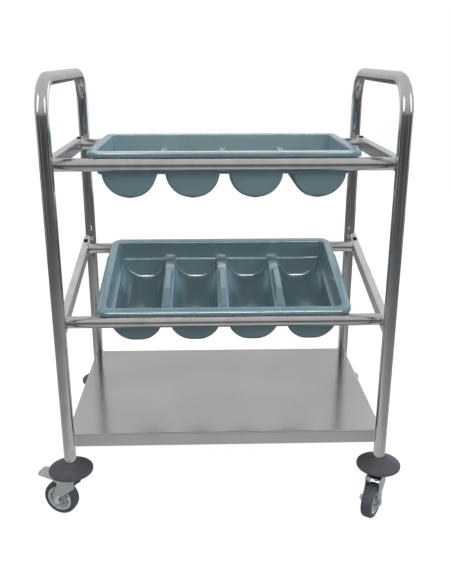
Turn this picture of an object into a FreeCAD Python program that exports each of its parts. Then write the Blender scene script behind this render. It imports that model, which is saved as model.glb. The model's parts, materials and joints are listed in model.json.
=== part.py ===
import FreeCAD, Part
import math
import os

from FreeCAD import Placement, Rotation, Vector

# Tray and cutlery trolley
# Millimetres, floor at Z 0, X to the right, Y to the back, origin under the middle

# Cutlery trays
TROUGHS = 4
TROUGH_R = 50.0           # inside of the half-round troughs
TROUGH_END_LEDGE = 3.0    # ledge at the trough ends
TROUGH_END_LEAN = 8.0     # inward lean of the trough ends over their depth
TROUGH_END_ROUND = 9.0    # inside, where an end meets the trough bottom
DIVIDER_WIDTH = 23.8      # between two troughs
DIVIDER_ROUND = 2.2       # shoulders of the dividers
HUMP_DROP = 16.3          # divider humps below the rim top
HUMP_LENGTH = 84.0        # flat top of a hump
HUMP_RUN = 27.0           # slope at each end of a hump
HUMP_WIDTH = 16.0
HUMP_ROUND = 3.0
TRAY_DEPTH = 325.0        # rim, front to back
TRAY_WALL = 3.0
TRAY_CORNER_R = 26.0      # rim corners in plan
TRAY_SIDE_ROOM = 1.0      # body off the rails
TRAY_SEAT_GAP = 0.3       # rim edge above the rail crowns
RIM_HEIGHT = 11.5
RIM_SEAT = 2.5            # rim edge past the rail axis
RIM_INNER_ROUND = 2.0     # inside of the rim's top edge
BAND_DEPTH = 42.5         # rim top to the divider tops, where the troughs begin
BAND_DRAFT = 3.0          # inward lean of the band over its depth
BAND_LEDGE = 5.1          # ledge beside the outer troughs
BAND_CORNER_R = 14.0      # inner upright corners of the band

# Frame tubes and heights
TUBE_OD = 25.0
TUBE_WALL = 1.2
HANDLE_BEND_R = 62.0      # centre line of the handle bends
TRAY_TO_LEG = 60.0        # tray rim to the leg axis, at each side
RAIL_TO_LEG = 55.0        # rail axis to the leg axis, front and back
SHELF_TOP = 192.0         # above the floor
MIDDLE_RISE = 258.0       # shelf to the middle of the tilted tray level
UPPER_RISE = 287.5        # middle level to the upper level
HANDLE_RISE = 168.5       # upper rail axes to the top of the handles
MIDDLE_SHIFT = 9.5        # the tilted level's middle behind the upper one's
MIDDLE_TILT = 13.2        # degrees, back edge higher

# Side bars and their bolts
BAR_HEIGHT = 25.0
BAR_WIDTH = 16.0
BAR_THICK = 2.0
BAR_INSET = 2.0           # bar's inner face inside the leg axis
BAR_END_CUT = 8.0         # bar ends this far short of the leg axis
LUG_THICK = 3.0
LUG_PAST_BOLT = 14.0
LUG_SIDE_GAP = 0.6        # lug to the bar's web and edge
BOLT_FROM_LEG = 38.0
BOLT_D = 6.0
BOLT_HOLE_ROOM = 0.2      # radial
BOLT_HEAD_PAST = 2.25     # head past the shank, radial
BOLT_HEAD_H = 3.3
BOLT_SOCKET_AF = 4.0
BOLT_SOCKET_DEPTH = 1.8
BOLT_TAIL = 2.0           # thread past the nut
NUT_WALL = 2.0            # thread to the nut's flats
NUT_H = 5.0

# Bottom shelf
SHELF_PAST_LEG_X = 3.5    # side edges past the leg axes
SHELF_PAST_LEG_Y = 0.0    # front and back edges past the leg axes
SHELF_LIP = 28.5
SHELF_SHEET = 1.2
SHELF_INNER_R = 1.3       # inside of the folds
SHELF_LEG_GAP = 0.4
SHELF_LUG_WIDTH = 12.0
SHELF_STUD_REACH = 32.0   # stud from the leg axis

# Castors, from the floor up
WHEEL_D = 75.0
TYRE_WIDTH = 24.0
TYRE_ROUND = 6.0
TYRE_THICK = 9.5
HUB_RIM_INSET = 1.5       # hub rim inside the tyre's sides
HUB_RIM_WALL = 6.0
HUB_WEB = 9.0
HUB_BOSS_WALL = 4.0
HUB_SLOTS = 5
HUB_SLOT_WIDTH = 5.0
HUB_SLOT_SWEEP = 44.0     # degrees
BUSH_WALL = 2.0
BUSH_END_GAP = 0.3        # bush end to cheek
AXLE_D = 8.0
AXLE_RUN = 0.05           # radial running clearance
AXLE_HEAD_WALL = 2.5      # shank to the flats of head and nut
AXLE_HEAD_H = 5.3
AXLE_NUT_H = 6.5
AXLE_TAIL = 2.5
TRAIL = 28.0              # wheel axle behind the swivel axis
TYRE_SIDE_ROOM = 2.0      # tyre to cheek
FORK_SHEET = 2.5
FORK_FRONT = 15.0         # crown reach ahead of the swivel axis
FORK_REAR = 29.0          # crown reach behind it
FORK_EYE_R = 10.5         # cheek round the axle
FORK_NECK_DROP = 16.0     # full-width part of the cheek below the crown
FORK_CORNER_R = 9.0
STEM_D = 12.0
STEM_RUN = 0.05           # radial running clearance in the crown
STEM_HEAD_PAST = 6.0      # head past the shank, radial
STEM_HEAD_H = 3.5
STEM_OVER_WHEEL = 9.7     # stem head above the tyre
STEM_END_GAP = 0.3        # stem head below the crown
NECK_GAP = 0.4            # neck above the crown
NECK_H = 15.6
NECK_LOW_R = 15.0
NECK_TOP_R = 19.0
SOCKET_LENGTH = 40.0
SLIP = 0.1                # radial room of the pushed-in pieces
BUMPER_D = 92.0
BUMPER_H = 23.0
BUMPER_RIM_H = 6.0
BUMPER_RIM_ROUND = 2.4
BUMPER_CROWN_PAST = 4.5   # crown past the leg tube
BUMPER_CROWN_DROP = 3.0
FOOT_SCREW_RISE = 9.0     # screw above the leg foot
FOOT_SCREW_D = 3.5
FOOT_SCREW_HEAD_PAST = 1.5
FOOT_SCREW_HEAD_H = 1.8
FOOT_SCREW_LAND = 1.2     # socket left between screw and stem

# Brake pedals
PEDAL_PIN_D = 5.0
PEDAL_PIN_INSET = 7.0     # pin ahead of the crown's rear edge
PEDAL_PIN_DROP = 9.0      # pin below the crown top
PEDAL_BOSS_WALL = 2.5
PEDAL_SIDE_GAP = 0.5
PEDAL_PAST_WHEEL = 9.5    # tip behind the wheel
PEDAL_PAST_FORK = 0.5     # plate wider than the fork, at each side
PEDAL_SHEET = 2.4
PEDAL_RISE = 2.0          # tip above the crown top
PEDAL_LIP = 6.0
SHOE_GAP = 3.6            # brake shoe off the tyre
SHOE_REACH = 15.0         # shoe end past the pin

# Castors as they stand: headings in degrees from +X, and the ones with a brake
CASTOR_HEADING_ANGLES = {
    "front_left": 160.0,
    "front_right": -123.0,
    "back_left": 58.0,
    "back_right": 10.0,
}
BRAKED_CASTORS = ("front_left", "back_left")

# Sizes that follow from those above
TUBE_R = TUBE_OD / 2
TRAY_HEIGHT = BAND_DEPTH + TROUGH_R + TRAY_WALL
TROUGH_PITCH = 2 * TROUGH_R + DIVIDER_WIDTH
RIM_WIDTH = RIM_SEAT + TUBE_R + TRAY_SIDE_ROOM
RIM_ROUND = TRAY_WALL + RIM_INNER_ROUND
BAND_SIDE = TROUGH_R + DIVIDER_ROUND + BAND_LEDGE + BAND_DRAFT + TRAY_WALL
TRAY_WIDTH = (TROUGHS - 1) * TROUGH_PITCH + 2 * (BAND_SIDE + RIM_WIDTH)
RAIL_SPACING = TRAY_DEPTH - 2 * RIM_SEAT
LEG_X = TRAY_WIDTH / 2 + TRAY_TO_LEG
LEG_Y = RAIL_SPACING / 2 + RAIL_TO_LEG
MIDDLE_Z = SHELF_TOP + MIDDLE_RISE
UPPER_Z = MIDDLE_Z + UPPER_RISE
HANDLE_TOP = UPPER_Z + HANDLE_RISE
BAR_FACE_X = LEG_X - BAR_INSET
BOLT_HOLE_R = BOLT_D / 2 + BOLT_HOLE_ROOM
NUT_AF = BOLT_D + 2 * NUT_WALL
LUG_REACH = BOLT_FROM_LEG + LUG_PAST_BOLT
SHELF_LUG_REACH = SHELF_STUD_REACH + LUG_PAST_BOLT
WHEEL_R = WHEEL_D / 2
HUB_R = WHEEL_R - TYRE_THICK
HUB_RIM_WIDTH = TYRE_WIDTH - 2 * HUB_RIM_INSET
BUSH_R = AXLE_D / 2 + BUSH_WALL
HUB_BOSS_R = BUSH_R + HUB_BOSS_WALL
HUB_SLOT_R = (HUB_BOSS_R + HUB_R - HUB_RIM_WALL) / 2
AXLE_HEAD_AF = AXLE_D + 2 * AXLE_HEAD_WALL
CHEEK_IN = TYRE_WIDTH / 2 + TYRE_SIDE_ROOM
CHEEK_OUT = CHEEK_IN + FORK_SHEET
CROWN_LOW = WHEEL_D + STEM_OVER_WHEEL + STEM_HEAD_H + STEM_END_GAP
FORK_TOP = CROWN_LOW + FORK_SHEET
BUMPER_LOW_Z = FORK_TOP + NECK_GAP + NECK_H
LEG_FOOT_Z = BUMPER_LOW_Z + BUMPER_H
SOCKET_R = TUBE_R - TUBE_WALL - SLIP
FOOT_SCREW_DEPTH = TUBE_R - STEM_D / 2 - FOOT_SCREW_LAND
PEDAL_REACH = TRAIL + WHEEL_R + PEDAL_PAST_WHEEL
PEDAL_WIDTH = 2 * (CHEEK_OUT + PEDAL_PAST_FORK)

UP = Vector(0, 0, 1)
ALONG_X = Vector(1, 0, 0)
ALONG_Y = Vector(0, 1, 0)
WHEEL_CENTRE = Vector(TRAIL, 0, WHEEL_R)
PEDAL_PIN = Vector(FORK_REAR - PEDAL_PIN_INSET, 0, FORK_TOP - PEDAL_PIN_DROP)


def box(x0, x1, y0, y1, z0, z1):
    """A box between two corners."""
    return Part.makeBox(x1 - x0, y1 - y0, z1 - z0, Vector(x0, y0, z0))


def rod(radius, start, end):
    """A round bar from one point to another."""
    run = end - start
    return Part.makeCylinder(radius, run.Length, start, run)


def hexagon(across_flats, height, base, direction):
    """A hexagon bar that stands on base."""
    radius = across_flats / math.sqrt(3)
    points = [Vector(radius * math.cos(math.radians(60 * i)), radius * math.sin(math.radians(60 * i)), 0)
              for i in range(7)]
    solid = Part.Face(Part.makePolygon(points)).extrude(Vector(0, 0, height))
    solid.Placement = Placement(base, Rotation(UP, direction))
    return solid


def outline(points, thickness, direction):
    """A flat plate: a closed polygon pushed along a direction."""
    return Part.Face(Part.makePolygon(points + points[:1])).extrude(direction * thickness)


def turned(profile):
    """A solid turned round Z from (radius, height) points."""
    points = [Vector(r, 0, z) for r, z in profile]
    return Part.Face(Part.makePolygon(points + points[:1])).revolve(Vector(), UP, 360)


def rounded_plate(width, depth, radius, z):
    """The outline of a round-cornered rectangle, centred, at a height."""
    x, y = width / 2, depth / 2
    edges = []
    corners = [(x, y, 0), (-x, y, 90), (-x, -y, 180), (x, -y, 270)]
    arcs = []
    for cx, cy, start in corners:
        centre = Vector(cx - math.copysign(radius, cx), cy - math.copysign(radius, cy), z)
        points = []
        for turn in (0, 45, 90):
            angle = math.radians(start + turn)
            points.append(centre + Vector(radius * math.cos(angle), radius * math.sin(angle), 0))
        arcs.append(points)
    for i, points in enumerate(arcs):
        edges.append(Part.Arc(*points).toShape())
        edges.append(Part.makeLine(points[2], arcs[(i + 1) % 4][0]))
    return Part.Wire(edges)


def tapered(width, depth, radius, z_top, z_low, lean):
    """A round-cornered block whose sides lean in towards its foot."""
    top = rounded_plate(width, depth, radius, z_top)
    low = rounded_plate(width - 2 * lean, depth - 2 * lean, radius, z_low)
    return Part.makeLoft([low, top], True, True)


def edges_where(shape, test):
    """The edges of a shape whose ends and middle all pass a test."""
    found = []
    for edge in shape.Edges:
        points = [v.Point for v in edge.Vertexes]
        points.append(edge.valueAt((edge.FirstParameter + edge.LastParameter) / 2))
        if all(test(p) for p in points):
            found.append(edge)
    return found


def legs():
    """The four leg axes, as (x, y)."""
    return [(sx * LEG_X, sy * LEG_Y) for sx in (-1, 1) for sy in (-1, 1)]


def leg_space(gap):
    """The room of all four legs, wider by a gap."""
    tall = HANDLE_TOP
    return [rod(TUBE_R + gap, Vector(x, y, 0), Vector(x, y, tall)) for x, y in legs()]


# End frames

def end_frame(side):
    """One tube bent to an inverted U: two legs and the handle between them."""
    x = side * LEG_X
    top = HANDLE_TOP - TUBE_R
    r = HANDLE_BEND_R
    rise = top - r
    mid = r * (1 - math.sqrt(0.5))
    foot_front = Vector(x, -LEG_Y, LEG_FOOT_Z)
    foot_back = Vector(x, LEG_Y, LEG_FOOT_Z)
    a, b = Vector(x, -LEG_Y, rise), Vector(x, -LEG_Y + r, top)
    c, d = Vector(x, LEG_Y - r, top), Vector(x, LEG_Y, rise)
    path = Part.Wire([
        Part.makeLine(foot_front, a),
        Part.Arc(a, Vector(x, -LEG_Y + mid, top - mid), b).toShape(),
        Part.makeLine(b, c),
        Part.Arc(c, Vector(x, LEG_Y - mid, top - mid), d).toShape(),
        Part.makeLine(d, foot_back),
    ])

    def swept(radius):
        ring = Part.Wire(Part.makeCircle(radius, foot_front, UP))
        return path.makePipeShell([ring], True, False)

    tube = swept(TUBE_R).cut(swept(TUBE_R - TUBE_WALL))
    for sy in (-1, 1):
        tube = tube.cut(foot_screw_hole(x, sy))
    return tube


def foot_screw_line(x, sy):
    """Seat of a foot screw on the outside of the leg, and the way that it points in."""
    return Vector(x, sy * (LEG_Y + TUBE_R), LEG_FOOT_Z + FOOT_SCREW_RISE), Vector(0, -sy, 0)


def foot_screw_hole(x, sy):
    seat, inward = foot_screw_line(x, sy)
    return rod(FOOT_SCREW_D / 2, seat - inward, seat + inward * FOOT_SCREW_DEPTH)


def foot_screw(x, sy):
    """A pan-head screw that keeps the castor socket in the leg."""
    seat, inward = foot_screw_line(x, sy)
    outer = seat - inward * FOOT_SCREW_HEAD_H
    head_r = FOOT_SCREW_D / 2 + FOOT_SCREW_HEAD_PAST
    shank = rod(FOOT_SCREW_D / 2, outer + inward * FOOT_SCREW_HEAD_H / 2, seat + inward * FOOT_SCREW_DEPTH)
    head = rod(head_r, outer, seat + inward * TUBE_WALL)
    head = head.cut(rod(TUBE_R, Vector(x, sy * LEG_Y, LEG_FOOT_Z), Vector(x, sy * LEG_Y, HANDLE_TOP)))
    rim = edges_where(head, lambda p: abs(p.y - outer.y) < 1e-6)
    head = head.makeFillet(FOOT_SCREW_HEAD_H / 2, rim)
    return head.fuse(shank).removeSplitter()


# Tray levels

class Level:
    """A tray level: its middle, its tilt, and the way from its own axes to the trolley's."""

    def __init__(self, name, y, z, tilt):
        self.name = name
        self.y = y
        self.tilt = math.radians(tilt)
        self.place = Placement(Vector(0, y, z), Rotation(ALONG_X, tilt))

    def put(self, shape):
        moved = shape.copy()
        moved.Placement = self.place.multiply(moved.Placement)
        return moved

    def leg_line(self, sy, height):
        """Where a leg axis passes the level's own Y, at a height above the rail axes."""
        return (sy * LEG_Y - self.y + height * math.sin(self.tilt)) / math.cos(self.tilt)


LEVELS = [Level("upper", 0.0, UPPER_Z, 0.0), Level("middle", MIDDLE_SHIFT, MIDDLE_Z, MIDDLE_TILT)]
FLANGE_TOP = BAR_HEIGHT / 2
FLANGE_LOW = FLANGE_TOP - BAR_THICK
LUG_LOW = FLANGE_LOW - LUG_THICK
BOLT_X = BAR_FACE_X + (BAR_WIDTH + BAR_THICK) / 2


def bolt_spots(level):
    """The places of a level's four bar bolts, in the level's own axes, with their side and end."""
    spots = []
    for sx in (-1, 1):
        for sy in (-1, 1):
            y = level.leg_line(sy, FLANGE_TOP) - sy * BOLT_FROM_LEG
            spots.append((sx, sy, Vector(sx * BOLT_X, y, 0)))
    return spots


def at_height(point, z):
    return Vector(point.x, point.y, z)


def rail(level, sy):
    """A round tube across the level, its ends against the bars."""
    y = sy * RAIL_SPACING / 2
    ends = Vector(-BAR_FACE_X, y, 0), Vector(BAR_FACE_X, y, 0)
    return level.put(rod(TUBE_R, *ends).cut(rod(TUBE_R - TUBE_WALL, *ends)))


def bar(level, sx):
    """An angle bar from leg to leg: an upright web inside and a flange on top, coped to the legs."""
    reach = 2 * LEG_Y
    low, high = sorted((sx * BAR_FACE_X, sx * (BAR_FACE_X + BAR_WIDTH)))
    web_low, web_high = sorted((sx * BAR_FACE_X, sx * (BAR_FACE_X + BAR_THICK)))
    angle = box(low, high, -reach, reach, FLANGE_LOW, FLANGE_TOP)
    angle = angle.fuse(box(web_low, web_high, -reach, reach, -BAR_HEIGHT / 2, FLANGE_TOP)).removeSplitter()
    inner_x = sx * BAR_FACE_X
    fold = edges_where(angle, lambda p: abs(p.x - inner_x) < 1e-6 and abs(p.z - FLANGE_TOP) < 1e-6)
    fold = [e for e in fold if e.Length > reach]
    angle = angle.makeFillet(BAR_THICK, fold)
    for side, end, spot in bolt_spots(level):
        if side == sx:
            angle = angle.cut(rod(BOLT_HOLE_R, at_height(spot, 0), at_height(spot, BAR_HEIGHT)))
    angle = level.put(angle)
    span = LEG_Y - BAR_END_CUT
    angle = angle.common(box(-2 * LEG_X, 2 * LEG_X, -span, span, 0, HANDLE_TOP))
    for leg in leg_space(0):
        angle = angle.cut(leg)
    return angle


def bar_lug(level, sx, sy, spot):
    """A plate on the leg that lies under the bar's flange and takes its bolt."""
    inner, outer = BAR_FACE_X + BAR_THICK + LUG_SIDE_GAP, BAR_FACE_X + BAR_WIDTH - LUG_SIDE_GAP
    x0, x1 = sorted((sx * inner, sx * outer))
    leg_y = level.leg_line(sy, FLANGE_TOP)
    y0, y1 = sorted((leg_y - sy * TUBE_R / 2, leg_y - sy * LUG_REACH))
    plate = box(x0, x1, y0, y1, LUG_LOW, FLANGE_LOW)
    plate = plate.cut(rod(BOLT_HOLE_R, at_height(spot, LUG_LOW - 1), at_height(spot, FLANGE_LOW + 1)))
    plate = level.put(plate)
    for leg in leg_space(0):
        plate = plate.cut(leg)
    return plate


def bar_bolt(level, spot):
    """A button-head bolt with a socket in its head."""
    tail = LUG_LOW - NUT_H - BOLT_TAIL
    seat, crest = at_height(spot, FLANGE_TOP), at_height(spot, FLANGE_TOP + BOLT_HEAD_H)
    head = rod(BOLT_D / 2 + BOLT_HEAD_PAST, seat, crest)
    crown = edges_where(head, lambda p: abs(p.z - FLANGE_TOP - BOLT_HEAD_H) < 1e-6)
    head = head.makeFillet(BOLT_HEAD_H * 0.7, crown)
    shank = rod(BOLT_D / 2, at_height(spot, tail), at_height(spot, FLANGE_TOP + BOLT_HEAD_H / 2))
    floor = at_height(spot, FLANGE_TOP + BOLT_HEAD_H - BOLT_SOCKET_DEPTH)
    bolt = head.fuse(shank).removeSplitter().cut(hexagon(BOLT_SOCKET_AF, BOLT_HEAD_H, floor, UP))
    return level.put(bolt)


def bar_nut(level, spot):
    nut = hexagon(NUT_AF, NUT_H, at_height(spot, LUG_LOW - NUT_H), UP)
    bore = rod(BOLT_D / 2, at_height(spot, LUG_LOW - 2 * NUT_H), at_height(spot, LUG_LOW + 1))
    return level.put(nut.cut(bore))


# Bottom shelf

def bottom_shelf():
    """A sheet pan with lips turned down all round, notched at the legs."""
    x, y = LEG_X + SHELF_PAST_LEG_X, LEG_Y + SHELF_PAST_LEG_Y
    low = SHELF_TOP - SHELF_LIP
    pan = box(-x, x, -y, y, low, SHELF_TOP)
    folds = edges_where(pan, lambda p: abs(p.z - SHELF_TOP) < 1e-6)
    pan = pan.makeFillet(SHELF_INNER_R + SHELF_SHEET, folds)
    t = SHELF_SHEET
    room = box(-x + t, x - t, -y + t, y - t, low - t, SHELF_TOP - t)
    room = room.makeFillet(SHELF_INNER_R, edges_where(room, lambda p: abs(p.z - SHELF_TOP + t) < 1e-6))
    pan = pan.cut(room)
    for leg in leg_space(SHELF_LEG_GAP):
        pan = pan.cut(leg)
    return pan


SHEET_LOW = SHELF_TOP - SHELF_SHEET


def shelf_corner(x, y, reach):
    """A point under the shelf, on the diagonal that runs inwards from a leg."""
    step = reach * math.sqrt(0.5)
    return Vector(x - math.copysign(step, x), y - math.copysign(step, y), 0)


def shelf_lug(x, y):
    """A plate on the leg, under the shelf's corner."""
    half = SHELF_LUG_WIDTH / 2
    plate = box(0, SHELF_LUG_REACH, -half, half, SHEET_LOW - LUG_THICK, SHEET_LOW)
    heading = math.degrees(math.atan2(-y / abs(y), -x / abs(x)))
    plate.Placement = Placement(Vector(x, y, 0), Rotation(UP, heading))
    spot = shelf_corner(x, y, SHELF_STUD_REACH)
    plate = plate.cut(rod(BOLT_HOLE_R, spot, at_height(spot, SHELF_TOP)))
    for leg in leg_space(0):
        plate = plate.cut(leg)
    return plate


def shelf_stud(x, y):
    spot = shelf_corner(x, y, SHELF_STUD_REACH)
    tail = SHEET_LOW - LUG_THICK - NUT_H - BOLT_TAIL
    return rod(BOLT_D / 2, at_height(spot, tail), at_height(spot, SHEET_LOW))


def shelf_nut(x, y):
    spot = shelf_corner(x, y, SHELF_STUD_REACH)
    base = SHEET_LOW - LUG_THICK - NUT_H
    nut = hexagon(NUT_AF, NUT_H, at_height(spot, base), UP)
    return nut.cut(rod(BOLT_D / 2, at_height(spot, base - 1), at_height(spot, SHELF_TOP)))


# Cutlery trays

def cutlery_tray(level):
    """A moulded tray: turned-down rim, upright band, half-round troughs and humped dividers."""
    rim_low = TUBE_R + TRAY_SEAT_GAP
    top = rim_low + RIM_HEIGHT
    floor = top - BAND_DEPTH
    bottom = top - TRAY_HEIGHT
    crest = top - HUMP_DROP
    wall = TRAY_WALL
    body_w, body_d = TRAY_WIDTH - 2 * RIM_WIDTH, TRAY_DEPTH - 2 * RIM_WIDTH
    in_w, in_d = body_w - 2 * wall, body_d - 2 * wall
    trough_y = in_d / 2 - BAND_DRAFT - TROUGH_END_LEDGE
    starts = [(i - (TROUGHS - 1) / 2) * TROUGH_PITCH for i in range(TROUGHS)]

    def trough(x, lid):
        """A half-round channel whose upper edges spread over the dividers in a round shoulder."""
        r = DIVIDER_ROUND
        slant = math.asin(r / (TROUGH_R + r))
        mouth = (TROUGH_R + r) * math.cos(slant)
        bend = math.radians(135) - slant / 2

        def at(dx, z):
            return Vector(x + dx, -in_d / 2, floor + z)

        def shoulder(side):
            over = at(side * mouth, 0)
            middle = at(side * (mouth + r * math.cos(bend)), r * math.sin(bend) - r)
            under = at(side * TROUGH_R * math.cos(slant), -TROUGH_R * math.sin(slant))
            return Part.Arc(over, middle, under).toShape(), under

        left, left_end = shoulder(-1)
        right, right_end = shoulder(1)
        edges = [
            Part.makeLine(at(-mouth, lid), at(-mouth, 0)),
            left,
            Part.Arc(left_end, at(0, -TROUGH_R), right_end).toShape(),
            right,
            Part.makeLine(at(mouth, 0), at(mouth, lid)),
            Part.makeLine(at(mouth, lid), at(-mouth, lid)),
        ]
        return Part.Face(Part.Wire(Part.__sortEdges__(edges))).extrude(ALONG_Y * in_d)

    def trough_case(x, radius):
        """The outside of a trough: a half-round bar under the band."""
        bar_low = rod(radius, Vector(x, -body_d / 2, floor), Vector(x, body_d / 2, floor))
        under_band = box(x - radius, x + radius, -body_d / 2, body_d / 2, bottom, floor - wall / 2)
        return bar_low.common(under_band)

    def between_ends(reach, low, radius):
        """The room between the leaning trough ends, with a round foot at each, just under the half rounds."""
        low -= wall / 15
        foot = reach - TROUGH_END_LEAN
        spots = [(-reach, top), (-reach, floor), (-foot, low), (foot, low), (reach, floor), (reach, top)]
        block = outline([Vector(-TRAY_WIDTH / 2, y, z) for y, z in spots], TRAY_WIDTH, ALONG_X)
        feet = edges_where(block, lambda p: p.z < low + 1e-6 and abs(p.y) > foot - 1e-6)
        return block.makeFillet(radius, feet)

    def ridge(x, inset):
        """A divider's hump: a flat top between two slopes, or the hollow in it when inset by the wall."""
        rise = crest - floor
        foot = floor - wall / 2 - inset
        half = HUMP_LENGTH / 2 + inset * (HUMP_RUN - math.hypot(HUMP_RUN, rise)) / rise
        high = crest - inset
        base = half + HUMP_RUN * (high - foot) / rise
        side = HUMP_WIDTH / 2 - inset
        spots = [(-base, foot), (base, foot), (half, high), (-half, high)]
        return outline([Vector(x - side, y, z) for y, z in spots], 2 * side, ALONG_X), high

    def hump(x):
        solid, high = ridge(x, 0)
        return solid.makeFillet(HUMP_ROUND, [e for e in solid.Edges if e.BoundBox.ZMax > high - 1e-3])

    shell = tapered(body_w, body_d, BAND_CORNER_R + wall, top, floor - wall, BAND_DRAFT)
    room = tapered(in_w, in_d, BAND_CORNER_R, top, floor, BAND_DRAFT)
    outer_ends = between_ends(trough_y + wall, bottom, TROUGH_END_ROUND + wall)
    inner_ends = between_ends(trough_y, bottom + wall, TROUGH_END_ROUND)
    for x in starts:
        shell = shell.fuse(trough_case(x, TROUGH_R + wall).common(outer_ends))
        room = room.fuse(trough(x, wall).common(inner_ends))

    lip = Part.Face(rounded_plate(TRAY_WIDTH, TRAY_DEPTH, TRAY_CORNER_R, rim_low)).extrude(UP * RIM_HEIGHT)
    lip = lip.makeFillet(RIM_ROUND, edges_where(lip, lambda p: abs(p.z - top) < 1e-6))
    under_wire = rounded_plate(TRAY_WIDTH - 2 * wall, TRAY_DEPTH - 2 * wall, TRAY_CORNER_R - wall, rim_low)
    under = Part.Face(under_wire).extrude(UP * (RIM_HEIGHT - wall))
    under = under.makeFillet(RIM_ROUND - wall, edges_where(under, lambda p: abs(p.z - top + wall) < 1e-6))
    tray = lip.cut(under).fuse(shell).removeSplitter().cut(room)
    for x in starts[1:]:
        tray = tray.fuse(hump(x - TROUGH_PITCH / 2))
        tray = tray.cut(ridge(x - TROUGH_PITCH / 2, wall)[0])
    return level.put(tray)


# Castors, each in its own axes: swivel axis at the origin, wheel trailing along X

class Castor:
    """A castor's place under its leg and its heading."""

    def __init__(self, name):
        sx = -1 if name.endswith("left") else 1
        sy = -1 if name.startswith("front") else 1
        self.name = name
        self.brake = name in BRAKED_CASTORS
        turn = Rotation(UP, CASTOR_HEADING_ANGLES[name])
        self.place = Placement(Vector(sx * LEG_X, sy * LEG_Y, 0), turn)

    def put(self, shape):
        moved = shape.copy()
        moved.Placement = self.place.multiply(moved.Placement)
        return moved


def across(radius, half_width, centre=WHEEL_CENTRE):
    """A round bar across the castor, through the wheel's middle unless another centre is given."""
    return rod(radius, centre - ALONG_Y * half_width, centre + ALONG_Y * half_width)


def tyre():
    ring = across(WHEEL_R, TYRE_WIDTH / 2)
    ring = ring.makeFillet(TYRE_ROUND, [e for e in ring.Edges if len(e.Vertexes) == 1])
    return ring.cut(across(HUB_R, TYRE_WIDTH))


def hub():
    """A moulded wheel centre: rim, web with arc slots, boss."""
    rim = across(HUB_R, HUB_RIM_WIDTH / 2)
    dish = across(HUB_R - HUB_RIM_WALL, HUB_RIM_WIDTH)
    web = across(HUB_R - HUB_RIM_WALL, HUB_WEB / 2)
    boss = across(HUB_BOSS_R, HUB_RIM_WIDTH / 2)
    wheel = rim.cut(dish).fuse([web, boss]).removeSplitter()
    half = HUB_SLOT_WIDTH / 2
    sweep = HUB_SLOT_SWEEP
    for i in range(HUB_SLOTS):
        turn = 360.0 / HUB_SLOTS * i
        slot = Part.makeCylinder(HUB_SLOT_R + half, HUB_RIM_WIDTH, Vector(), UP, sweep)
        slot = slot.cut(Part.makeCylinder(HUB_SLOT_R - half, HUB_RIM_WIDTH, Vector(), UP, sweep))
        for angle in (0, math.radians(sweep)):
            end = Vector(HUB_SLOT_R * math.cos(angle), HUB_SLOT_R * math.sin(angle), 0)
            slot = slot.fuse(Part.makeCylinder(half, HUB_RIM_WIDTH, end, UP))
        slot = slot.removeSplitter()
        slot.Placement = Placement(Vector(0, 0, -HUB_RIM_WIDTH / 2), Rotation())
        spun = slot.copy()
        spun.Placement = Placement(WHEEL_CENTRE, Rotation(ALONG_X, -90)).multiply(
            Placement(Vector(), Rotation(UP, turn))).multiply(slot.Placement)
        wheel = wheel.cut(spun)
    return wheel.cut(across(BUSH_R, HUB_RIM_WIDTH))


def bush():
    half = CHEEK_IN - BUSH_END_GAP
    return across(BUSH_R, half).cut(across(AXLE_D / 2 + AXLE_RUN, half))


def axle():
    """A hexagon-head bolt through both cheeks."""
    head = WHEEL_CENTRE + ALONG_Y * CHEEK_OUT
    tail = WHEEL_CENTRE - ALONG_Y * (CHEEK_OUT + AXLE_NUT_H + AXLE_TAIL)
    hex_head = hexagon(AXLE_HEAD_AF, AXLE_HEAD_H, head, ALONG_Y)
    return rod(AXLE_D / 2, tail, head).fuse(hex_head).removeSplitter()


def axle_nut():
    seat = WHEEL_CENTRE - ALONG_Y * CHEEK_OUT
    nut = hexagon(AXLE_HEAD_AF, AXLE_NUT_H, seat, -ALONG_Y)
    return nut.cut(across(AXLE_D / 2, 2 * CHEEK_OUT))


def fork(brake):
    """A pressed fork: crown plate and two cheeks that narrow to the axle."""
    neck_z = FORK_TOP - FORK_NECK_DROP
    eye = WHEEL_CENTRE
    points = [
        Vector(-FORK_FRONT, 0, FORK_TOP),
        Vector(-FORK_FRONT, 0, neck_z),
        Vector(eye.x - FORK_EYE_R, 0, eye.z + FORK_EYE_R),
        Vector(eye.x - FORK_EYE_R, 0, eye.z),
        Vector(eye.x + FORK_EYE_R, 0, eye.z),
        Vector(eye.x + FORK_EYE_R, 0, eye.z + FORK_EYE_R),
        Vector(FORK_REAR, 0, neck_z),
        Vector(FORK_REAR, 0, FORK_TOP),
    ]
    cheek = outline(points, 2 * CHEEK_OUT, ALONG_Y)
    cheek.translate(-ALONG_Y * CHEEK_OUT)
    side = cheek.fuse(across(FORK_EYE_R, CHEEK_OUT)).removeSplitter()
    front_top = edges_where(side, lambda p: abs(p.z - FORK_TOP) < 1e-6 and abs(abs(p.y) - CHEEK_OUT) < 1e-6)
    side = side.makeFillet(FORK_SHEET, front_top)
    gap = box(-LEG_X, LEG_X, -CHEEK_IN, CHEEK_IN, 0, CROWN_LOW)
    body = side.cut(gap)
    corner = FORK_CORNER_R
    plan = box(-FORK_FRONT, FORK_REAR + TRAIL, -CHEEK_OUT, CHEEK_OUT, 0, FORK_TOP)
    upright = edges_where(plan, lambda p: abs(p.x + FORK_FRONT) < 1e-6 and abs(abs(p.y) - CHEEK_OUT) < 1e-6)
    body = body.common(plan.makeFillet(corner, upright))
    body = body.cut(rod(STEM_D / 2 + STEM_RUN, Vector(), Vector(0, 0, FORK_TOP + 1)))
    body = body.cut(across(AXLE_D / 2 + SLIP, 2 * CHEEK_OUT))
    if brake:
        body = body.cut(across(PEDAL_PIN_D / 2, 2 * CHEEK_OUT, PEDAL_PIN))
    return body


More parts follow.
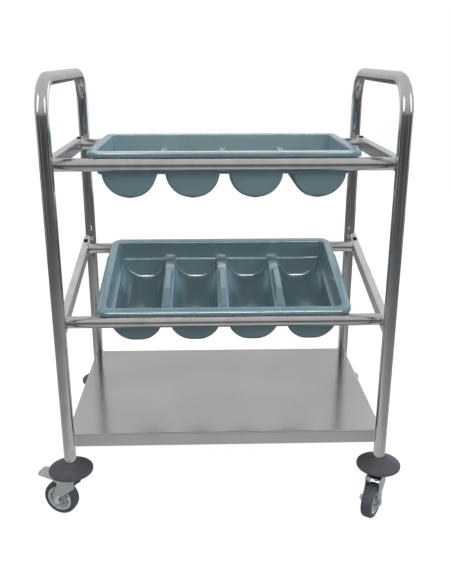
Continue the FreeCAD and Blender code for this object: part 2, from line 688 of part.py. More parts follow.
def pedal_pin():
    return across(PEDAL_PIN_D / 2, CHEEK_OUT + PEDAL_SIDE_GAP, PEDAL_PIN)


def brake_pedal():
    """A foot lever: a shoe between the cheeks and a broad plate behind them."""
    half = CHEEK_IN - PEDAL_SIDE_GAP
    boss_r = PEDAL_PIN_D / 2 + PEDAL_BOSS_WALL
    shoe_end = PEDAL_PIN.x + SHOE_REACH
    shoe = box(PEDAL_PIN.x, shoe_end, -half, half, PEDAL_PIN.z - 3 * boss_r, PEDAL_PIN.z + boss_r)
    shoe = shoe.fuse(across(boss_r, half, PEDAL_PIN)).removeSplitter()
    shoe = shoe.cut(across(WHEEL_R + SHOE_GAP, 2 * CHEEK_OUT))
    root = Vector(FORK_REAR + PEDAL_SHEET, 0, PEDAL_PIN.z + boss_r)
    tip = Vector(PEDAL_REACH, 0, FORK_TOP + PEDAL_RISE)
    thick = UP * PEDAL_SHEET
    start = Vector(PEDAL_PIN.x + boss_r, 0, root.z)
    lip_in = tip - ALONG_X * PEDAL_SHEET
    blade = outline([
        start - thick, root - thick, lip_in - thick,
        lip_in - UP * PEDAL_LIP, tip - UP * PEDAL_LIP, tip, root, start,
    ], PEDAL_WIDTH, ALONG_Y)
    blade.translate(-ALONG_Y * PEDAL_WIDTH / 2)
    narrow = box(0, FORK_REAR + PEDAL_SHEET, -half, half, 0, FORK_TOP)
    broad = box(FORK_REAR + PEDAL_SHEET / 2, PEDAL_REACH, -PEDAL_WIDTH / 2, PEDAL_WIDTH / 2, 0, LEG_FOOT_Z)
    side = PEDAL_WIDTH / 2 - 1e-6
    corners = edges_where(broad, lambda p: abs(p.y) > side and p.x > PEDAL_REACH - 1e-6)
    broad = broad.makeFillet(FORK_CORNER_R, corners)
    lever = shoe.fuse(blade.common(narrow.fuse(broad))).removeSplitter()
    return lever.cut(across(PEDAL_PIN_D / 2 + AXLE_RUN, PEDAL_WIDTH, PEDAL_PIN))


def stem():
    """The kingpin: its head carries the fork, its shank stands in the leg socket."""
    head_top = CROWN_LOW - STEM_END_GAP
    head = Part.makeCylinder(STEM_D / 2 + STEM_HEAD_PAST, STEM_HEAD_H, Vector(0, 0, head_top - STEM_HEAD_H))
    shank = rod(STEM_D / 2, Vector(0, 0, head_top - STEM_HEAD_H), Vector(0, 0, LEG_FOOT_Z + SOCKET_LENGTH))
    return head.fuse(shank).removeSplitter()


def neck():
    """The dust cover between the fork and the bumper."""
    bore = STEM_D / 2 + SLIP
    return turned([(bore, FORK_TOP + NECK_GAP), (NECK_LOW_R, FORK_TOP + NECK_GAP),
                   (NECK_TOP_R, BUMPER_LOW_Z), (bore, BUMPER_LOW_Z)])


def bumper():
    """A conical disc under the leg that keeps the trolley off the walls."""
    bore = STEM_D / 2 + SLIP
    rim_r = BUMPER_D / 2
    rim_z = BUMPER_LOW_Z + BUMPER_RIM_H
    crown = (TUBE_R + BUMPER_CROWN_PAST, LEG_FOOT_Z - BUMPER_CROWN_DROP)
    cone = turned([(bore, BUMPER_LOW_Z), (rim_r, BUMPER_LOW_Z), (rim_r, rim_z),
                   crown, (TUBE_R, LEG_FOOT_Z), (bore, LEG_FOOT_Z)])
    rim = [e for e in cone.Edges if len(e.Vertexes) == 1 and abs(e.Curve.Radius - rim_r) < 1e-6]
    return cone.makeFillet(BUMPER_RIM_ROUND, rim)


def leg_socket(x, y):
    """A plastic plug in the leg foot that grips the castor stem."""
    base, top = Vector(x, y, LEG_FOOT_Z), Vector(x, y, LEG_FOOT_Z + SOCKET_LENGTH)
    plug = rod(SOCKET_R, base, top).cut(rod(STEM_D / 2, base, top))
    return plug.cut(foot_screw_hole(x, math.copysign(1, y)))


def build():
    """All nodes by name."""
    nodes = {"left_end_frame": end_frame(-1), "right_end_frame": end_frame(1)}
    lugs, bolts, nuts = [], [], []
    for level in LEVELS:
        nodes[level.name + "_front_rail"] = rail(level, -1)
        nodes[level.name + "_back_rail"] = rail(level, 1)
        nodes[level.name + "_left_bar"] = bar(level, -1)
        nodes[level.name + "_right_bar"] = bar(level, 1)
        nodes[level.name + "_cutlery_tray"] = cutlery_tray(level)
        for sx, sy, spot in bolt_spots(level):
            lugs.append(bar_lug(level, sx, sy, spot))
            bolts.append(bar_bolt(level, spot))
            nuts.append(bar_nut(level, spot))
    nodes["bar_lugs"] = Part.makeCompound(lugs)
    nodes["bar_bolts"] = Part.makeCompound(bolts)
    nodes["bar_nuts"] = Part.makeCompound(nuts)

    nodes["bottom_shelf"] = bottom_shelf()
    nodes["shelf_lugs"] = Part.makeCompound([shelf_lug(x, y) for x, y in legs()])
    nodes["shelf_studs"] = Part.makeCompound([shelf_stud(x, y) for x, y in legs()])
    nodes["shelf_nuts"] = Part.makeCompound([shelf_nut(x, y) for x, y in legs()])
    nodes["leg_sockets"] = Part.makeCompound([leg_socket(x, y) for x, y in legs()])
    nodes["foot_screws"] = Part.makeCompound([foot_screw(x, math.copysign(1, y)) for x, y in legs()])

    castors = [Castor(name) for name in CASTOR_HEADING_ANGLES]
    nodes["castor_stems"] = Part.makeCompound([c.put(stem()) for c in castors])
    nodes["castor_necks"] = Part.makeCompound([c.put(neck()) for c in castors])
    for castor in castors:
        pieces = {"bumper": bumper(), "fork": fork(castor.brake), "axle": axle(), "axle_nut": axle_nut(),
                  "hub": hub(), "bush": bush(), "tyre": tyre()}
        if castor.brake:
            pieces["brake_pedal"] = brake_pedal()
            pieces["pedal_pin"] = pedal_pin()
        for piece, shape in pieces.items():
            nodes[castor.name + "_" + piece] = castor.put(shape)
    return nodes


def main():
    os.makedirs("parts", exist_ok=True)
    for name, shape in build().items():
        solids = shape.Solids
        if not solids or not all(s.isValid() for s in solids):
            raise ValueError(name + " is not a valid solid")
        shape.exportStep(os.path.join("parts", name + ".step"))
        room = shape.BoundBox
        spans = (room.XMin, room.XMax, room.YMin, room.YMax, room.ZMin, room.ZMax)
        print("%-28s solids %2d  volume %10.1f" % (name, len(solids), shape.Volume),
              "x %7.1f %7.1f  y %7.1f %7.1f  z %6.1f %6.1f" % spans)


main()
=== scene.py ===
# %% [markdown]
# A tray and cutlery trolley. Two bent stainless tubes carry four rails, two moulded cutlery trays, a folded
# sheet shelf and four castors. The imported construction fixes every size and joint; this lesson gives each
# piece its rounded edges and finish. A redrawn piece stands where its node is, and rides on the same body.

# %% Load the construction
import json
from math import asin, atan2, copysign, cos, degrees, hypot, pi, radians, sin, sqrt

import bmesh
import bpy
import numpy as np
from mathutils import Matrix, Vector
from mathutils.geometry import delaunay_2d_cdt

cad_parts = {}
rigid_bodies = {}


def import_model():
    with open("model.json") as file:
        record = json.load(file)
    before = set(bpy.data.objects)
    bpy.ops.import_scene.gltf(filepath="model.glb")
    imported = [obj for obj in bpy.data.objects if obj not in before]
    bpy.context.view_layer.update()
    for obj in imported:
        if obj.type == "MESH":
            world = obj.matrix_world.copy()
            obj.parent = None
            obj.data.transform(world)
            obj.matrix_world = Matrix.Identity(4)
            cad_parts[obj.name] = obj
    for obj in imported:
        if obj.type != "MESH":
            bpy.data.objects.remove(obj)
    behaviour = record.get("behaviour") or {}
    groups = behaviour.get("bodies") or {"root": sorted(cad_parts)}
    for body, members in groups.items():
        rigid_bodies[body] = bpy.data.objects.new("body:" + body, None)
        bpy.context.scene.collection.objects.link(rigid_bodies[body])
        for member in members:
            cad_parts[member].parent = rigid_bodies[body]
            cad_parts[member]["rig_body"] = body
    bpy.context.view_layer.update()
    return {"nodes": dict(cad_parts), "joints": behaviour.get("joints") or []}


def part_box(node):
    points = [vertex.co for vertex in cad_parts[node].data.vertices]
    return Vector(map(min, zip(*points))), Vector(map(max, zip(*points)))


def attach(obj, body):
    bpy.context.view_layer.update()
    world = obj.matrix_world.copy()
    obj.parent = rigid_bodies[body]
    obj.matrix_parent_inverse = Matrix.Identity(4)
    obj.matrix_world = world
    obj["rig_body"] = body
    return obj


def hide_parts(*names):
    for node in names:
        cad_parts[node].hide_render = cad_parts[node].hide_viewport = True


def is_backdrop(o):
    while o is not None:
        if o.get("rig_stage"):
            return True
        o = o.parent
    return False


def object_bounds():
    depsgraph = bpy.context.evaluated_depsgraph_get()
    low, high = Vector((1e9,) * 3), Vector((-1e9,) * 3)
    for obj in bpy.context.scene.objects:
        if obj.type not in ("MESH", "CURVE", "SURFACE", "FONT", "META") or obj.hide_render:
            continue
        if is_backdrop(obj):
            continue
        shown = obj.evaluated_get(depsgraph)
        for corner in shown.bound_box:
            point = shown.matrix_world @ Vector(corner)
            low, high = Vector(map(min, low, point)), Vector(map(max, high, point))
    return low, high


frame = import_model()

nodes = frame["nodes"]
joints = {joint["name"]: joint for joint in frame["joints"]}
MM = 0.001
LEVELS = ("upper", "middle")

# %% [markdown]
# Colours are written as the sRGB values that a colour picker shows, and shaders work in linear light, so one
# function turns the one into the other. A second adds a node with its settings and links, to keep trees short.

# %% Helpers for colours and nodes


def colour(code):
    """An sRGB hex colour as linear RGBA."""
    values = [int(code[i:i + 2], 16) / 255 for i in (1, 3, 5)]
    linear = [v / 12.92 if v <= 0.04045 else ((v + 0.055) / 1.055) ** 2.4 for v in values]
    return (*linear, 1.0)


def add(tree, kind, inputs=None, stops=None, **settings):
    """Adds a node; inputs map a socket to a value, a socket or a node, stops a ramp's place to a colour."""
    node = tree.nodes.new(kind)
    for name, value in settings.items():
        setattr(node, name, value)
    for socket, value in (inputs or {}).items():
        if isinstance(value, bpy.types.Node):
            value = value.outputs[0]
        if isinstance(value, bpy.types.NodeSocket):
            tree.links.new(value, node.inputs[socket])
        else:
            node.inputs[socket].default_value = value
    if stops:
        marks = node.color_ramp.elements
        while len(marks) < len(stops):
            marks.new(0.5)
        for mark, (position, code) in zip(marks, sorted(stops.items())):
            mark.position = position
            mark.color = colour(code)
    return node


def finish(name, code, **settings):
    """A new material whose surface has one colour and plain settings; returns it, its tree and its shader."""
    material = bpy.data.materials.new(name)
    material.use_nodes = True
    tree = material.node_tree
    shader = tree.nodes["Principled BSDF"]
    shader.inputs["Base Color"].default_value = colour(code)
    for socket, value in settings.items():
        shader.inputs[socket.replace("_", " ")].default_value = value
    return material, tree, shader


print("mid grey in linear light:", round(colour("#808080")[0], 3))

# %% [markdown]
# No real surface is even. A noise with its grain in millimetres lets a finish wander a little in colour and
# gloss. Nearly all of a noise lies between two middle levels, so these are spread over the wanted range.

# %% Patterns in millimetres
NOISE_LOW, NOISE_HIGH = 0.3, 0.7


def pattern(tree, size, stretch=(1, 1, 1), detail=2.0):
    """A noise whose grain is size millimetres, drawn out along an axis by stretch."""
    place = add(tree, "ShaderNodeTexCoord").outputs["Object"]
    scale = [1 / (size * MM * s) for s in stretch]
    mapped = add(tree, "ShaderNodeMapping", {"Vector": place, "Scale": scale})
    return add(tree, "ShaderNodeTexNoise", {"Vector": mapped, "Scale": 1.0, "Detail": detail})


def wander(tree, shader, clouds, dark, light, gloss, smooth, rough):
    """The colour wanders from dark to light with one pattern, and the roughness with another."""
    tint = add(tree, "ShaderNodeValToRGB", {"Fac": clouds}, {NOISE_LOW: dark, NOISE_HIGH: light})
    tree.links.new(tint.outputs[0], shader.inputs["Base Color"])
    ranges = {"Value": gloss, "From Min": NOISE_LOW, "From Max": NOISE_HIGH, "To Min": smooth, "To Max": rough}
    roughness = add(tree, "ShaderNodeMapRange", ranges)
    tree.links.new(roughness.outputs[0], shader.inputs["Roughness"])


print("finishes wander with the noise from", NOISE_LOW, "to", NOISE_HIGH)

# %% [markdown]
# Stainless tube is polished with belts that run along it, so faint streaks as long as a hand break its gloss.
# A streak pattern in the roughness shows that. The grit is a few hundredths of a millimetre; it is drawn about
# a millimetre wide, so that it shows at all. The bars are left satin and show the room as soft grey.

# %% Polished stainless tube and satin stainless bar
STREAK = 1.2
STREAK_DRAWN_OUT = 90
STEEL_CLOUD = 35


def stainless(name, along, dark, light, smooth, rough):
    """Steel polished along an axis; smooth and rough are the ends of its roughness."""
    stretch = [STREAK_DRAWN_OUT if axis == along else 1 for axis in "XYZ"]
    material, tree, shader = finish(name, light, Metallic=1.0)
    streaks = pattern(tree, STREAK, stretch)
    wander(tree, shader, pattern(tree, STEEL_CLOUD), dark, light, streaks, smooth, rough)
    return material


tube_upright = stainless("polished stainless tube, upright", "Z", "#b9b9ba", "#c4c4c5", 0.09, 0.15)
tube_rail = stainless("polished stainless tube, rail", "X", "#b9b9ba", "#c4c4c5", 0.1, 0.16)
bar_steel = stainless("satin stainless bar", "Y", "#c6c7c9", "#d4d5d7", 0.22, 0.34)
print("stainless:", tube_upright.name, tube_rail.name, bar_steel.name)

# %% [markdown]
# The shelf is brushed sheet. Brushing leaves parallel scratches that blur what the sheet mirrors: the back
# legs show in it as soft streaks. Long noise in the roughness does this. Real scratches are under a tenth of a
# millimetre wide, and these are drawn nearly a millimetre wide, so that they show.

# %% Brushed stainless sheet
BRUSH = 0.9
BRUSH_DRAWN_OUT = 160
BRUSH_DETAIL = 3.0
SHEET_CLOUD = 160
shelf_steel, tree, shader = finish("brushed stainless sheet", "#a9a9a9", Metallic=1.0)
scratches = pattern(tree, BRUSH, (BRUSH_DRAWN_OUT, 1, 1), BRUSH_DETAIL)
wander(tree, shader, pattern(tree, SHEET_CLOUD), "#b2b2b3", "#bababa", scratches, 0.15, 0.2)
print("sheet:", shelf_steel.name)

# %% [markdown]
# The trays are injection-moulded polypropylene. The tool's fine texture is too small to draw, so patches of
# slightly different gloss stand for it: clear highlights on rounded edges, and a soft unevenness on the flats.

# %% Moulded polypropylene of the trays
TRAY_CLOUD = 90
GLOSS_PATCH = 40
tray_plastic, tree, shader = finish("moulded polypropylene, slate", "#5d7478", Roughness=0.17, IOR=1.5)
wander(tree, shader, pattern(tree, TRAY_CLOUD), "#5b7276", "#5f767a", pattern(tree, GLOSS_PATCH), 0.15, 0.19)
print("plastic:", tray_plastic.name)

# %% [markdown]
# Castors mix finishes: blue zinc on forks, bright zinc on nuts and pedals, grey rubber, and plain plastic in
# the hub. Zinc crystals and the grain of rubber are far finer than a millimetre. They are drawn as clouds of
# several millimetres, so that they show, and each finish differs in how far its gloss wanders.

# %% Castor and fastener finishes
RELIEF_GRAIN_SHARE = 1 / 3


def cloudy(name, dark, light, grain, smooth, rough, relief=0.0, **settings):
    """A finish in clouds of grain millimetres; relief is the height of a finer grain, in millimetres."""
    material, tree, shader = finish(name, light, **settings)
    clouds = pattern(tree, grain)
    wander(tree, shader, clouds, dark, light, clouds, smooth, rough)
    if relief:
        skin = pattern(tree, grain * RELIEF_GRAIN_SHARE)
        bump = add(tree, "ShaderNodeBump", {"Height": skin, "Distance": relief * MM, "Strength": 1.0})
        tree.links.new(bump.outputs[0], shader.inputs["Normal"])
    return material


# Blue zinc on the pressed forks: a cool, cloudy half-gloss.
zinc_fork = cloudy("blue zinc plate", "#a4abac", "#adb4b4", 12, 0.3, 0.36, Metallic=1.0)
# Bright zinc on nuts and pins: small, sharp glints.
zinc_bright = cloudy("bright zinc plate", "#c2c4c6", "#d0d1d2", 6, 0.18, 0.24, Metallic=1.0)
# Bright zinc on the pedals: a greyer mirror, because shoes rub it.
pedal_zinc = cloudy("bright zinc pressing", "#a6abac", "#b2b6b7", 12, 0.14, 0.2, Metallic=1.0)
# Black oxide on bolts and stems: nearly even, with a dull sheen on the edges. On the stems' lock nuts and
# washers the dark also paints the shade under the fork crowns.
oxide = cloudy("black oxide steel", "#1d1d1e", "#2b2b2c", 3, 0.35, 0.5, Metallic=0.6)
# Stove enamel on the necks: dark, with soft highlights.
neck_paint = cloudy("dark grey stove enamel", "#23282d", "#2d3238", 8, 0.35, 0.5)
# Moulded rubber of the bumpers: a dull skin that hardly mirrors anything.
bumper_rubber = cloudy("moulded rubber, dark grey", "#37383b", "#424347", 9, 0.5, 0.64, 0.02)
# Tyre rubber: drier and dustier, with a coarser skin.
tyre_rubber = cloudy("tyre rubber, grey", "#363b3e", "#41474a", 6, 0.55, 0.7, 0.03)
# Polypropylene of the hubs: a light, waxy grey without clear highlights.
hub_plastic = cloudy("moulded polypropylene, light grey", "#9c9fa0", "#abaeae", 8, 0.4, 0.55, 0.01)
# Acetal of the bushes: smooth and milky.
bush_plastic = cloudy("acetal, white", "#d6d4cc", "#e2e0d9", 6, 0.4, 0.5)
# Nylon of the leg sockets: black with a soft sheen.
socket_plastic = cloudy("moulded nylon, black", "#161617", "#202022", 6, 0.45, 0.6)
print("castor finishes:", zinc_fork.name, tyre_rubber.name, hub_plastic.name)

# %% [markdown]
# Most drawn pieces are stacks of closed loops: a trough is rounded rectangles that shrink downwards, a bumper
# is circles that change radius. A small class joins loop to loop and fills flat areas around holes.

# %% A shell grown from loops
SAME_SPOT = 1e-6


class Shell:
    """Points and faces of one piece, in millimetres."""

    def __init__(self):
        self.points = []
        self.faces = []

    def stack(self, rings, cap_first=False, cap_last=False):
        """Joins loops of equal length in order; returns the first and the last."""
        loops = []
        for ring in rings:
            loops.append(range(len(self.points), len(self.points) + len(ring)))
            self.points += ring
        for a, b in zip(loops, loops[1:]):
            for i in range(len(a)):
                j = (i + 1) % len(a)
                self.faces.append((a[i], a[j], b[j], b[i]))
        if cap_first:
            self.faces.append(tuple(reversed(loops[0])))
        if cap_last:
            self.faces.append(tuple(loops[-1]))
        return loops[0], loops[-1]

    def flat(self, outer, holes):
        """Fills a level area between an outer loop and holes that bulge outwards everywhere."""
        loops = [outer] + holes
        corners = [i for ring in loops for i in ring]
        owner = {i: k for k, ring in enumerate(loops) for i in ring}
        edges = []
        for ring in loops:
            start = corners.index(ring[0])
            edges += [(start + k, start + (k + 1) % len(ring)) for k in range(len(ring))]
        spots = [Vector(self.points[i][:2]) for i in corners]
        found = delaunay_2d_cdt(spots, edges, [], 1, SAME_SPOT)
        for triangle in found[2]:
            face = [corners[found[3][v][0]] for v in triangle]
            homes = {owner[i] for i in face}
            if homes == {0} or len(homes) > 1:
                self.faces.append(face)

    def put(self, other, place):
        """Adds a copy of another shell, moved by a matrix that is in metres."""
        start = len(self.points)
        self.points += [tuple(place @ (Vector(p) * MM) / MM) for p in other.points]
        self.faces += [[i + start for i in face] for face in other.faces]


print("points of a flat area within", SAME_SPOT, "mm are one")

# %% [markdown]
# A finished shell becomes a mesh with welded points and smooth faces, whose edges stay sharp past a crease
# angle. It then takes over from a construction node: its body and its place.

# %% From a shell to a piece of the trolley
WELD = 0.002
CREASE = 38


def new_object(name, data):
    thing = bpy.data.objects.new(name, data)
    bpy.context.scene.collection.objects.link(thing)
    return thing


def welded(mesh):
    """A working copy of a mesh with its close points welded."""
    work = bmesh.new()
    work.from_mesh(mesh)
    bmesh.ops.remove_doubles(work, verts=work.verts, dist=WELD * MM)
    return work


def smooth_faces(mesh, crease):
    """Smooth faces, with edges past a crease angle kept sharp."""
    mesh.shade_smooth()
    mesh.set_sharp_from_angle(angle=radians(crease))


def make(name, shell, material, matrix=Matrix(), crease=CREASE):
    """A shell as an object at the origin, its place in its mesh."""
    mesh = bpy.data.meshes.new(name)
    mesh.from_pydata([Vector(p) * MM for p in shell.points], [], shell.faces)
    mesh.transform(matrix)
    work = welded(mesh)
    bmesh.ops.recalc_face_normals(work, faces=work.faces)
    work.to_mesh(mesh)
    work.free()
    mesh.materials.append(material)
    smooth_faces(mesh, crease)
    return new_object(name, mesh)


def stand_for(piece, name):
    """The piece takes the place and the body of a construction node, which is hidden."""
    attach(piece, nodes[name]["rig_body"])
    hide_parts(name)
    print(piece.name, len(piece.data.polygons), "faces, for", name)


def middle(name):
    low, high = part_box(name)
    return (low + high) / 2


def arc(start, end, steps):
    """Angles in radians from start to end, given in degrees."""
    return [radians(start + (end - start) * i / steps) for i in range(steps + 1)]


def rounding(radius, start, end, steps):
    """How far a rounding stays from the two faces that it joins, from step to step."""
    return [(radius * (1 - cos(a)), radius * (1 - sin(a))) for a in arc(start, end, steps)]


print("shells are welded at", WELD, "mm and creased past", CREASE, "degrees")

# %% [markdown]
# A cutlery tray is one moulding: a turned-down rim, a deep band, four half-round troughs and three dividers
# with a hump. Booleans with bevels could carve it, but bevels tear where so many roundings meet. Stacked loops
# give every rounding its own rows of faces. Heights count from the rail axes, and u runs to the back.

# %% Sizes of a tray, in millimetres
rail_low, rail_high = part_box("upper_front_rail")
tray_low, tray_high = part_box("upper_cutlery_tray")
RAIL_R = (rail_high.z - rail_low.z) / 2 / MM
TOP = (tray_high.z - middle("upper_front_rail").z) / MM
BOTTOM = (tray_low.z - middle("upper_front_rail").z) / MM
RIM_X = (tray_high.x - tray_low.x) / 2 / MM
RIM_U = (tray_high.y - tray_low.y) / 2 / MM
RIM_SEAT_GAP = 0.3
RIM_LOW = RAIL_R + RIM_SEAT_GAP
RIM_WIDTH = 16.0
RIM_ROUND = 5.0
RIM_CORNER = 26.0
WALL = 3.0
BAND_DRAFT = 3.0
BAND_CORNER = 14.0
FOOT_CORNER = 10.0
BAND_X = RIM_X - RIM_WIDTH - WALL
BAND_U = RIM_U - RIM_WIDTH - WALL
TROUGHS = 4
TROUGH_R = 50.0
PITCH = 123.8
FLOOR = BOTTOM + WALL + TROUGH_R
print("tray", round(2 * RIM_X), "x", round(2 * RIM_U), "mm, floor at", round(FLOOR, 1))

# %% A rounded rectangle as a loop
CORNER_STEPS = 8


def rounded(half_x, half_u, radius, w, x=0.0, stops=(), bulge=0.0, bulge_half=0.0):
    """A loop with round corners; stops are extra points on its sides, moved out by bulge near the middle."""
    radius = min(radius, half_x, half_u)
    ring = []
    for quarter in range(4):
        cx = (half_x - radius) * (1, -1, -1, 1)[quarter]
        cu = (half_u - radius) * (1, 1, -1, -1)[quarter]
        for step in range(CORNER_STEPS + 1):
            angle = pi / 2 * (quarter + step / CORNER_STEPS)
            ring.append((x + cx + radius * cos(angle), cu + radius * sin(angle), w))
        if quarter in (1, 3):
            side = -1 if quarter == 1 else 1
            for u in stops:
                out = half_x + (bulge if abs(u) < bulge_half else 0)
                ring.append((x + side * out, side * u, w))
    return ring


print("a rounded rectangle has", len(rounded(RIM_X, RIM_U, RIM_CORNER, TOP)), "points")

# %% [markdown]
# Rim and band are one skin: up the inside of the band, over the lip and rim, round the turned-down edge and
# down the outside. The sides swell a little where fingers lift the tray. The band leans, as a moulding must to
# leave its tool, so its roundings stop short of upright.

# %% The rim and band, from the inner floor edge over the rim to the outer foot
GRIP_HALF = 80.0
GRIP_OUT = 1.8
GRIP_STOPS = (-85.0, -79.0, 0.0, 79.0, 85.0)
FOOT_ROUND = 1.0
OUTER_FOOT_ROUND = 2.5
LIP_ROUND = 3.2
EDGE_BREAK = 0.9
RIM_INSIDE_ROUND = 2.0
BODY_FOLD = 1.5


def rim_rings():
    rings = []

    def ring(inset, w, corner, bulge=0.0):
        rings.append(rounded(RIM_X - inset, RIM_U - inset, corner, w, 0.0, GRIP_STOPS, bulge, GRIP_HALF))

    inner = RIM_X - BAND_X
    for rise, drop in rounding(FOOT_ROUND, 0, 84, 6):
        ring(inner + BAND_DRAFT + drop, FLOOR + rise, FOOT_CORNER - drop)
    for back, down in rounding(LIP_ROUND, 4, 90, 6):
        ring(inner - back, TOP - down, BAND_CORNER + back)
    for back, down in rounding(RIM_ROUND, 90, 0, 6):
        ring(back, TOP - down, RIM_CORNER - back, GRIP_OUT * (1 - back / RIM_ROUND))
    ring(0, RIM_LOW + EDGE_BREAK, RIM_CORNER, GRIP_OUT)
    ring(EDGE_BREAK, RIM_LOW, RIM_CORNER - EDGE_BREAK, GRIP_OUT)
    ring(WALL - EDGE_BREAK, RIM_LOW, RIM_CORNER - WALL + EDGE_BREAK, GRIP_OUT)
    ring(WALL, RIM_LOW + EDGE_BREAK, RIM_CORNER - WALL, GRIP_OUT)
    for turn, down in rounding(RIM_INSIDE_ROUND, 0, 90, 3):
        ring(WALL + turn, TOP - WALL - down, RIM_CORNER - WALL - turn)
    body = inner - WALL
    ring(body - BODY_FOLD, TOP - WALL, BAND_CORNER + WALL + BODY_FOLD)
    ring(body, TOP - WALL - BODY_FOLD, BAND_CORNER + WALL)
    for rise, drop in rounding(OUTER_FOOT_ROUND, 84, 0, 6):
        ring(body + BAND_DRAFT + drop, FLOOR - WALL + rise, FOOT_CORNER + WALL - drop)
    return rings


print("rim and band:", len(rim_rings()), "loops of", len(rim_rings()[0]), "points")

# %% [markdown]
# A trough is a half round with leaning, rounded ends. Every loop has points close to its corners, so that the
# rounding shades the end alone and not the whole floor. The outside follows at the thickness of the wall.

# %% Troughs and their outsides
END_LEDGE = 3.0
END_LEAN = 8.0
END_ROUND = 9.0
NEAR_END = 1.0
TROUGH_U = BAND_U - BAND_DRAFT - END_LEDGE
TROUGH_CORNER = 3.5
SHOULDER = 2.2
SHOULDER_AT_ENDS = 0.7
CASE_CORNER = TROUGH_CORNER + WALL
CASE_LAP = 1.2
CASE_END_LAP = 0.2
CASE_LAP_CORNER = 7.5
TROUGH_START, TROUGH_END, TROUGH_STEPS = 1.5, 88.8, 34
CASE_END, CASE_STEPS = 89.2, 36


def trough_loop(half_x, half_u, corner, w, x):
    """A loop with points close to the corners of its long sides."""
    reach = half_u - min(corner, half_x) - NEAR_END
    return rounded(half_x, half_u, corner, w, x, (-reach, reach))


def half_round(x, a, radius, reach, foot, corner):
    """One loop of a half round with leaning ends, at an angle below the horizontal."""
    depth = radius * sin(a)
    left = radius - depth
    tuck = foot - sqrt(foot ** 2 - (foot - left) ** 2) if left < foot else 0.0
    half_u = reach - END_LEAN * depth / radius - tuck
    turn = corner + (foot - corner) * depth / radius
    return trough_loop(radius * cos(a), half_u, turn, FLOOR - depth, x)


def trough_rings(x):
    """From the divider tops over the round shoulder down the half round."""
    rings = []
    slant = asin(SHOULDER / (TROUGH_R + SHOULDER))
    mouth = (TROUGH_R + SHOULDER) * cos(slant)
    for a in arc(90, 172, 5):
        out = mouth + SHOULDER * cos(a) - TROUGH_R
        w = FLOOR - SHOULDER * (1 - sin(a))
        half_u = TROUGH_U + SHOULDER_AT_ENDS * out
        rings.append(trough_loop(TROUGH_R + out, half_u, TROUGH_CORNER + out, w, x))
    for a in arc(degrees(slant) + TROUGH_START, TROUGH_END, TROUGH_STEPS):
        rings.append(half_round(x, a, TROUGH_R, TROUGH_U, END_ROUND, TROUGH_CORNER))
    return rings


def case_rings(x):
    """The outside of a trough, from under the dividers down."""
    radius = TROUGH_R + WALL
    reach = TROUGH_U + WALL
    start = degrees(asin((WALL + CASE_LAP) / radius))
    rings = [trough_loop(radius + CASE_LAP, reach + CASE_END_LAP, CASE_LAP_CORNER, FLOOR - WALL, x)]
    for a in arc(start, CASE_END, CASE_STEPS):
        rings.append(half_round(x, a, radius, reach, END_ROUND + WALL, CASE_CORNER))
    return rings


print("trough:", len(trough_rings(0)), "loops inside and", len(case_rings(0)), "outside")

# %% [markdown]
# A hump stiffens each divider. It flares where it grows out of the divider, slopes at both ends and is round
# on top. A moulding keeps an even wall, so it is hollow, and one function draws its outside and inside.

# %% Humps on the dividers, and both trays
HUMP_DROP = 16.3
HUMP_TOP = TOP - HUMP_DROP
HUMP_HALF = 42.0
HUMP_RUN = 27.0
HUMP_SIDE = 8.0
HUMP_EDGE = 3.0
HUMP_CORNER = 2.6
HUMP_FLARE = 1.2
FLARE_FADE = 12
SIDE_TUCK, END_TUCK = 0.9, 0.5
HOLLOW_EDGE, HOLLOW_SHRINK = 0.6, 0.4
TRAY_CREASE = 50


def hump_rings(x, inset):
    """A hump from the divider top up, or with an inset the hollow inside it."""
    rise = HUMP_TOP - FLOOR
    edge = HUMP_EDGE - inset * HOLLOW_EDGE
    flare = HUMP_FLARE if inset == 0 else 0.0
    base = FLOOR - inset
    crest = HUMP_TOP - inset
    shrink = inset * HOLLOW_SHRINK
    rings = []

    def ring(t, tuck):
        half_x = HUMP_SIDE - inset - t + flare * max(0, 1 - t * FLARE_FADE) - tuck
        half_u = HUMP_HALF - shrink + HUMP_RUN * (1 - t) - tuck * END_TUCK
        rings.append(rounded(half_x, half_u, HUMP_CORNER - shrink, base + rise * t, x))

    for t in (0.0, 0.03, 0.08, 0.3, 0.6):
        ring(t, 0.0)
    for back, down in rounding(edge, 0, 90, 5):
        ring((crest - down - base) / rise, SIDE_TUCK * back)
    return rings


def tray_shell():
    shell = Shell()
    inner_edge, outer_edge = shell.stack(rim_rings())
    inside, outside = [], []
    for i in range(TROUGHS):
        x = (i - (TROUGHS - 1) / 2) * PITCH
        inside.append(shell.stack(trough_rings(x), cap_last=True)[0])
        outside.append(shell.stack(case_rings(x), cap_last=True)[0])
    for i in range(TROUGHS - 1):
        x = (i - (TROUGHS - 2) / 2) * PITCH
        inside.append(shell.stack(hump_rings(x, 0), cap_last=True)[0])
        outside.append(shell.stack(hump_rings(x, WALL), cap_last=True)[0])
    shell.flat(inner_edge, inside)
    shell.flat(outer_edge, outside)
    return shell


def level_place(level):
    """Where a tray's own axes stand, from its rails and the direction in which it lifts out."""
    front, back = middle(level + "_front_rail"), middle(level + "_back_rail")
    up = Vector(joints[level + "_tray_lift"]["axis"]).normalized()
    run = (back - front).normalized()
    turn = Matrix((run.cross(up), run, up)).transposed().to_4x4()
    return Matrix.Translation((front + back) / 2) @ turn


for level in LEVELS:
    tray = make(level + "_tray_moulding", tray_shell(), tray_plastic, level_place(level), TRAY_CREASE)
    stand_for(tray, level + "_cutlery_tray")

# %% [markdown]
# Each end of the trolley is one tube bent to an inverted U: two legs and a handle. A tube is a circle that
# follows a path, so Geometry Nodes can make it: points become a curve, Fillet bends its corners, Curve to Mesh
# carries the circle along, and Solidify makes a real tube wall. The same tree makes the straight rails.

# %% The start and the end of a geometry tree


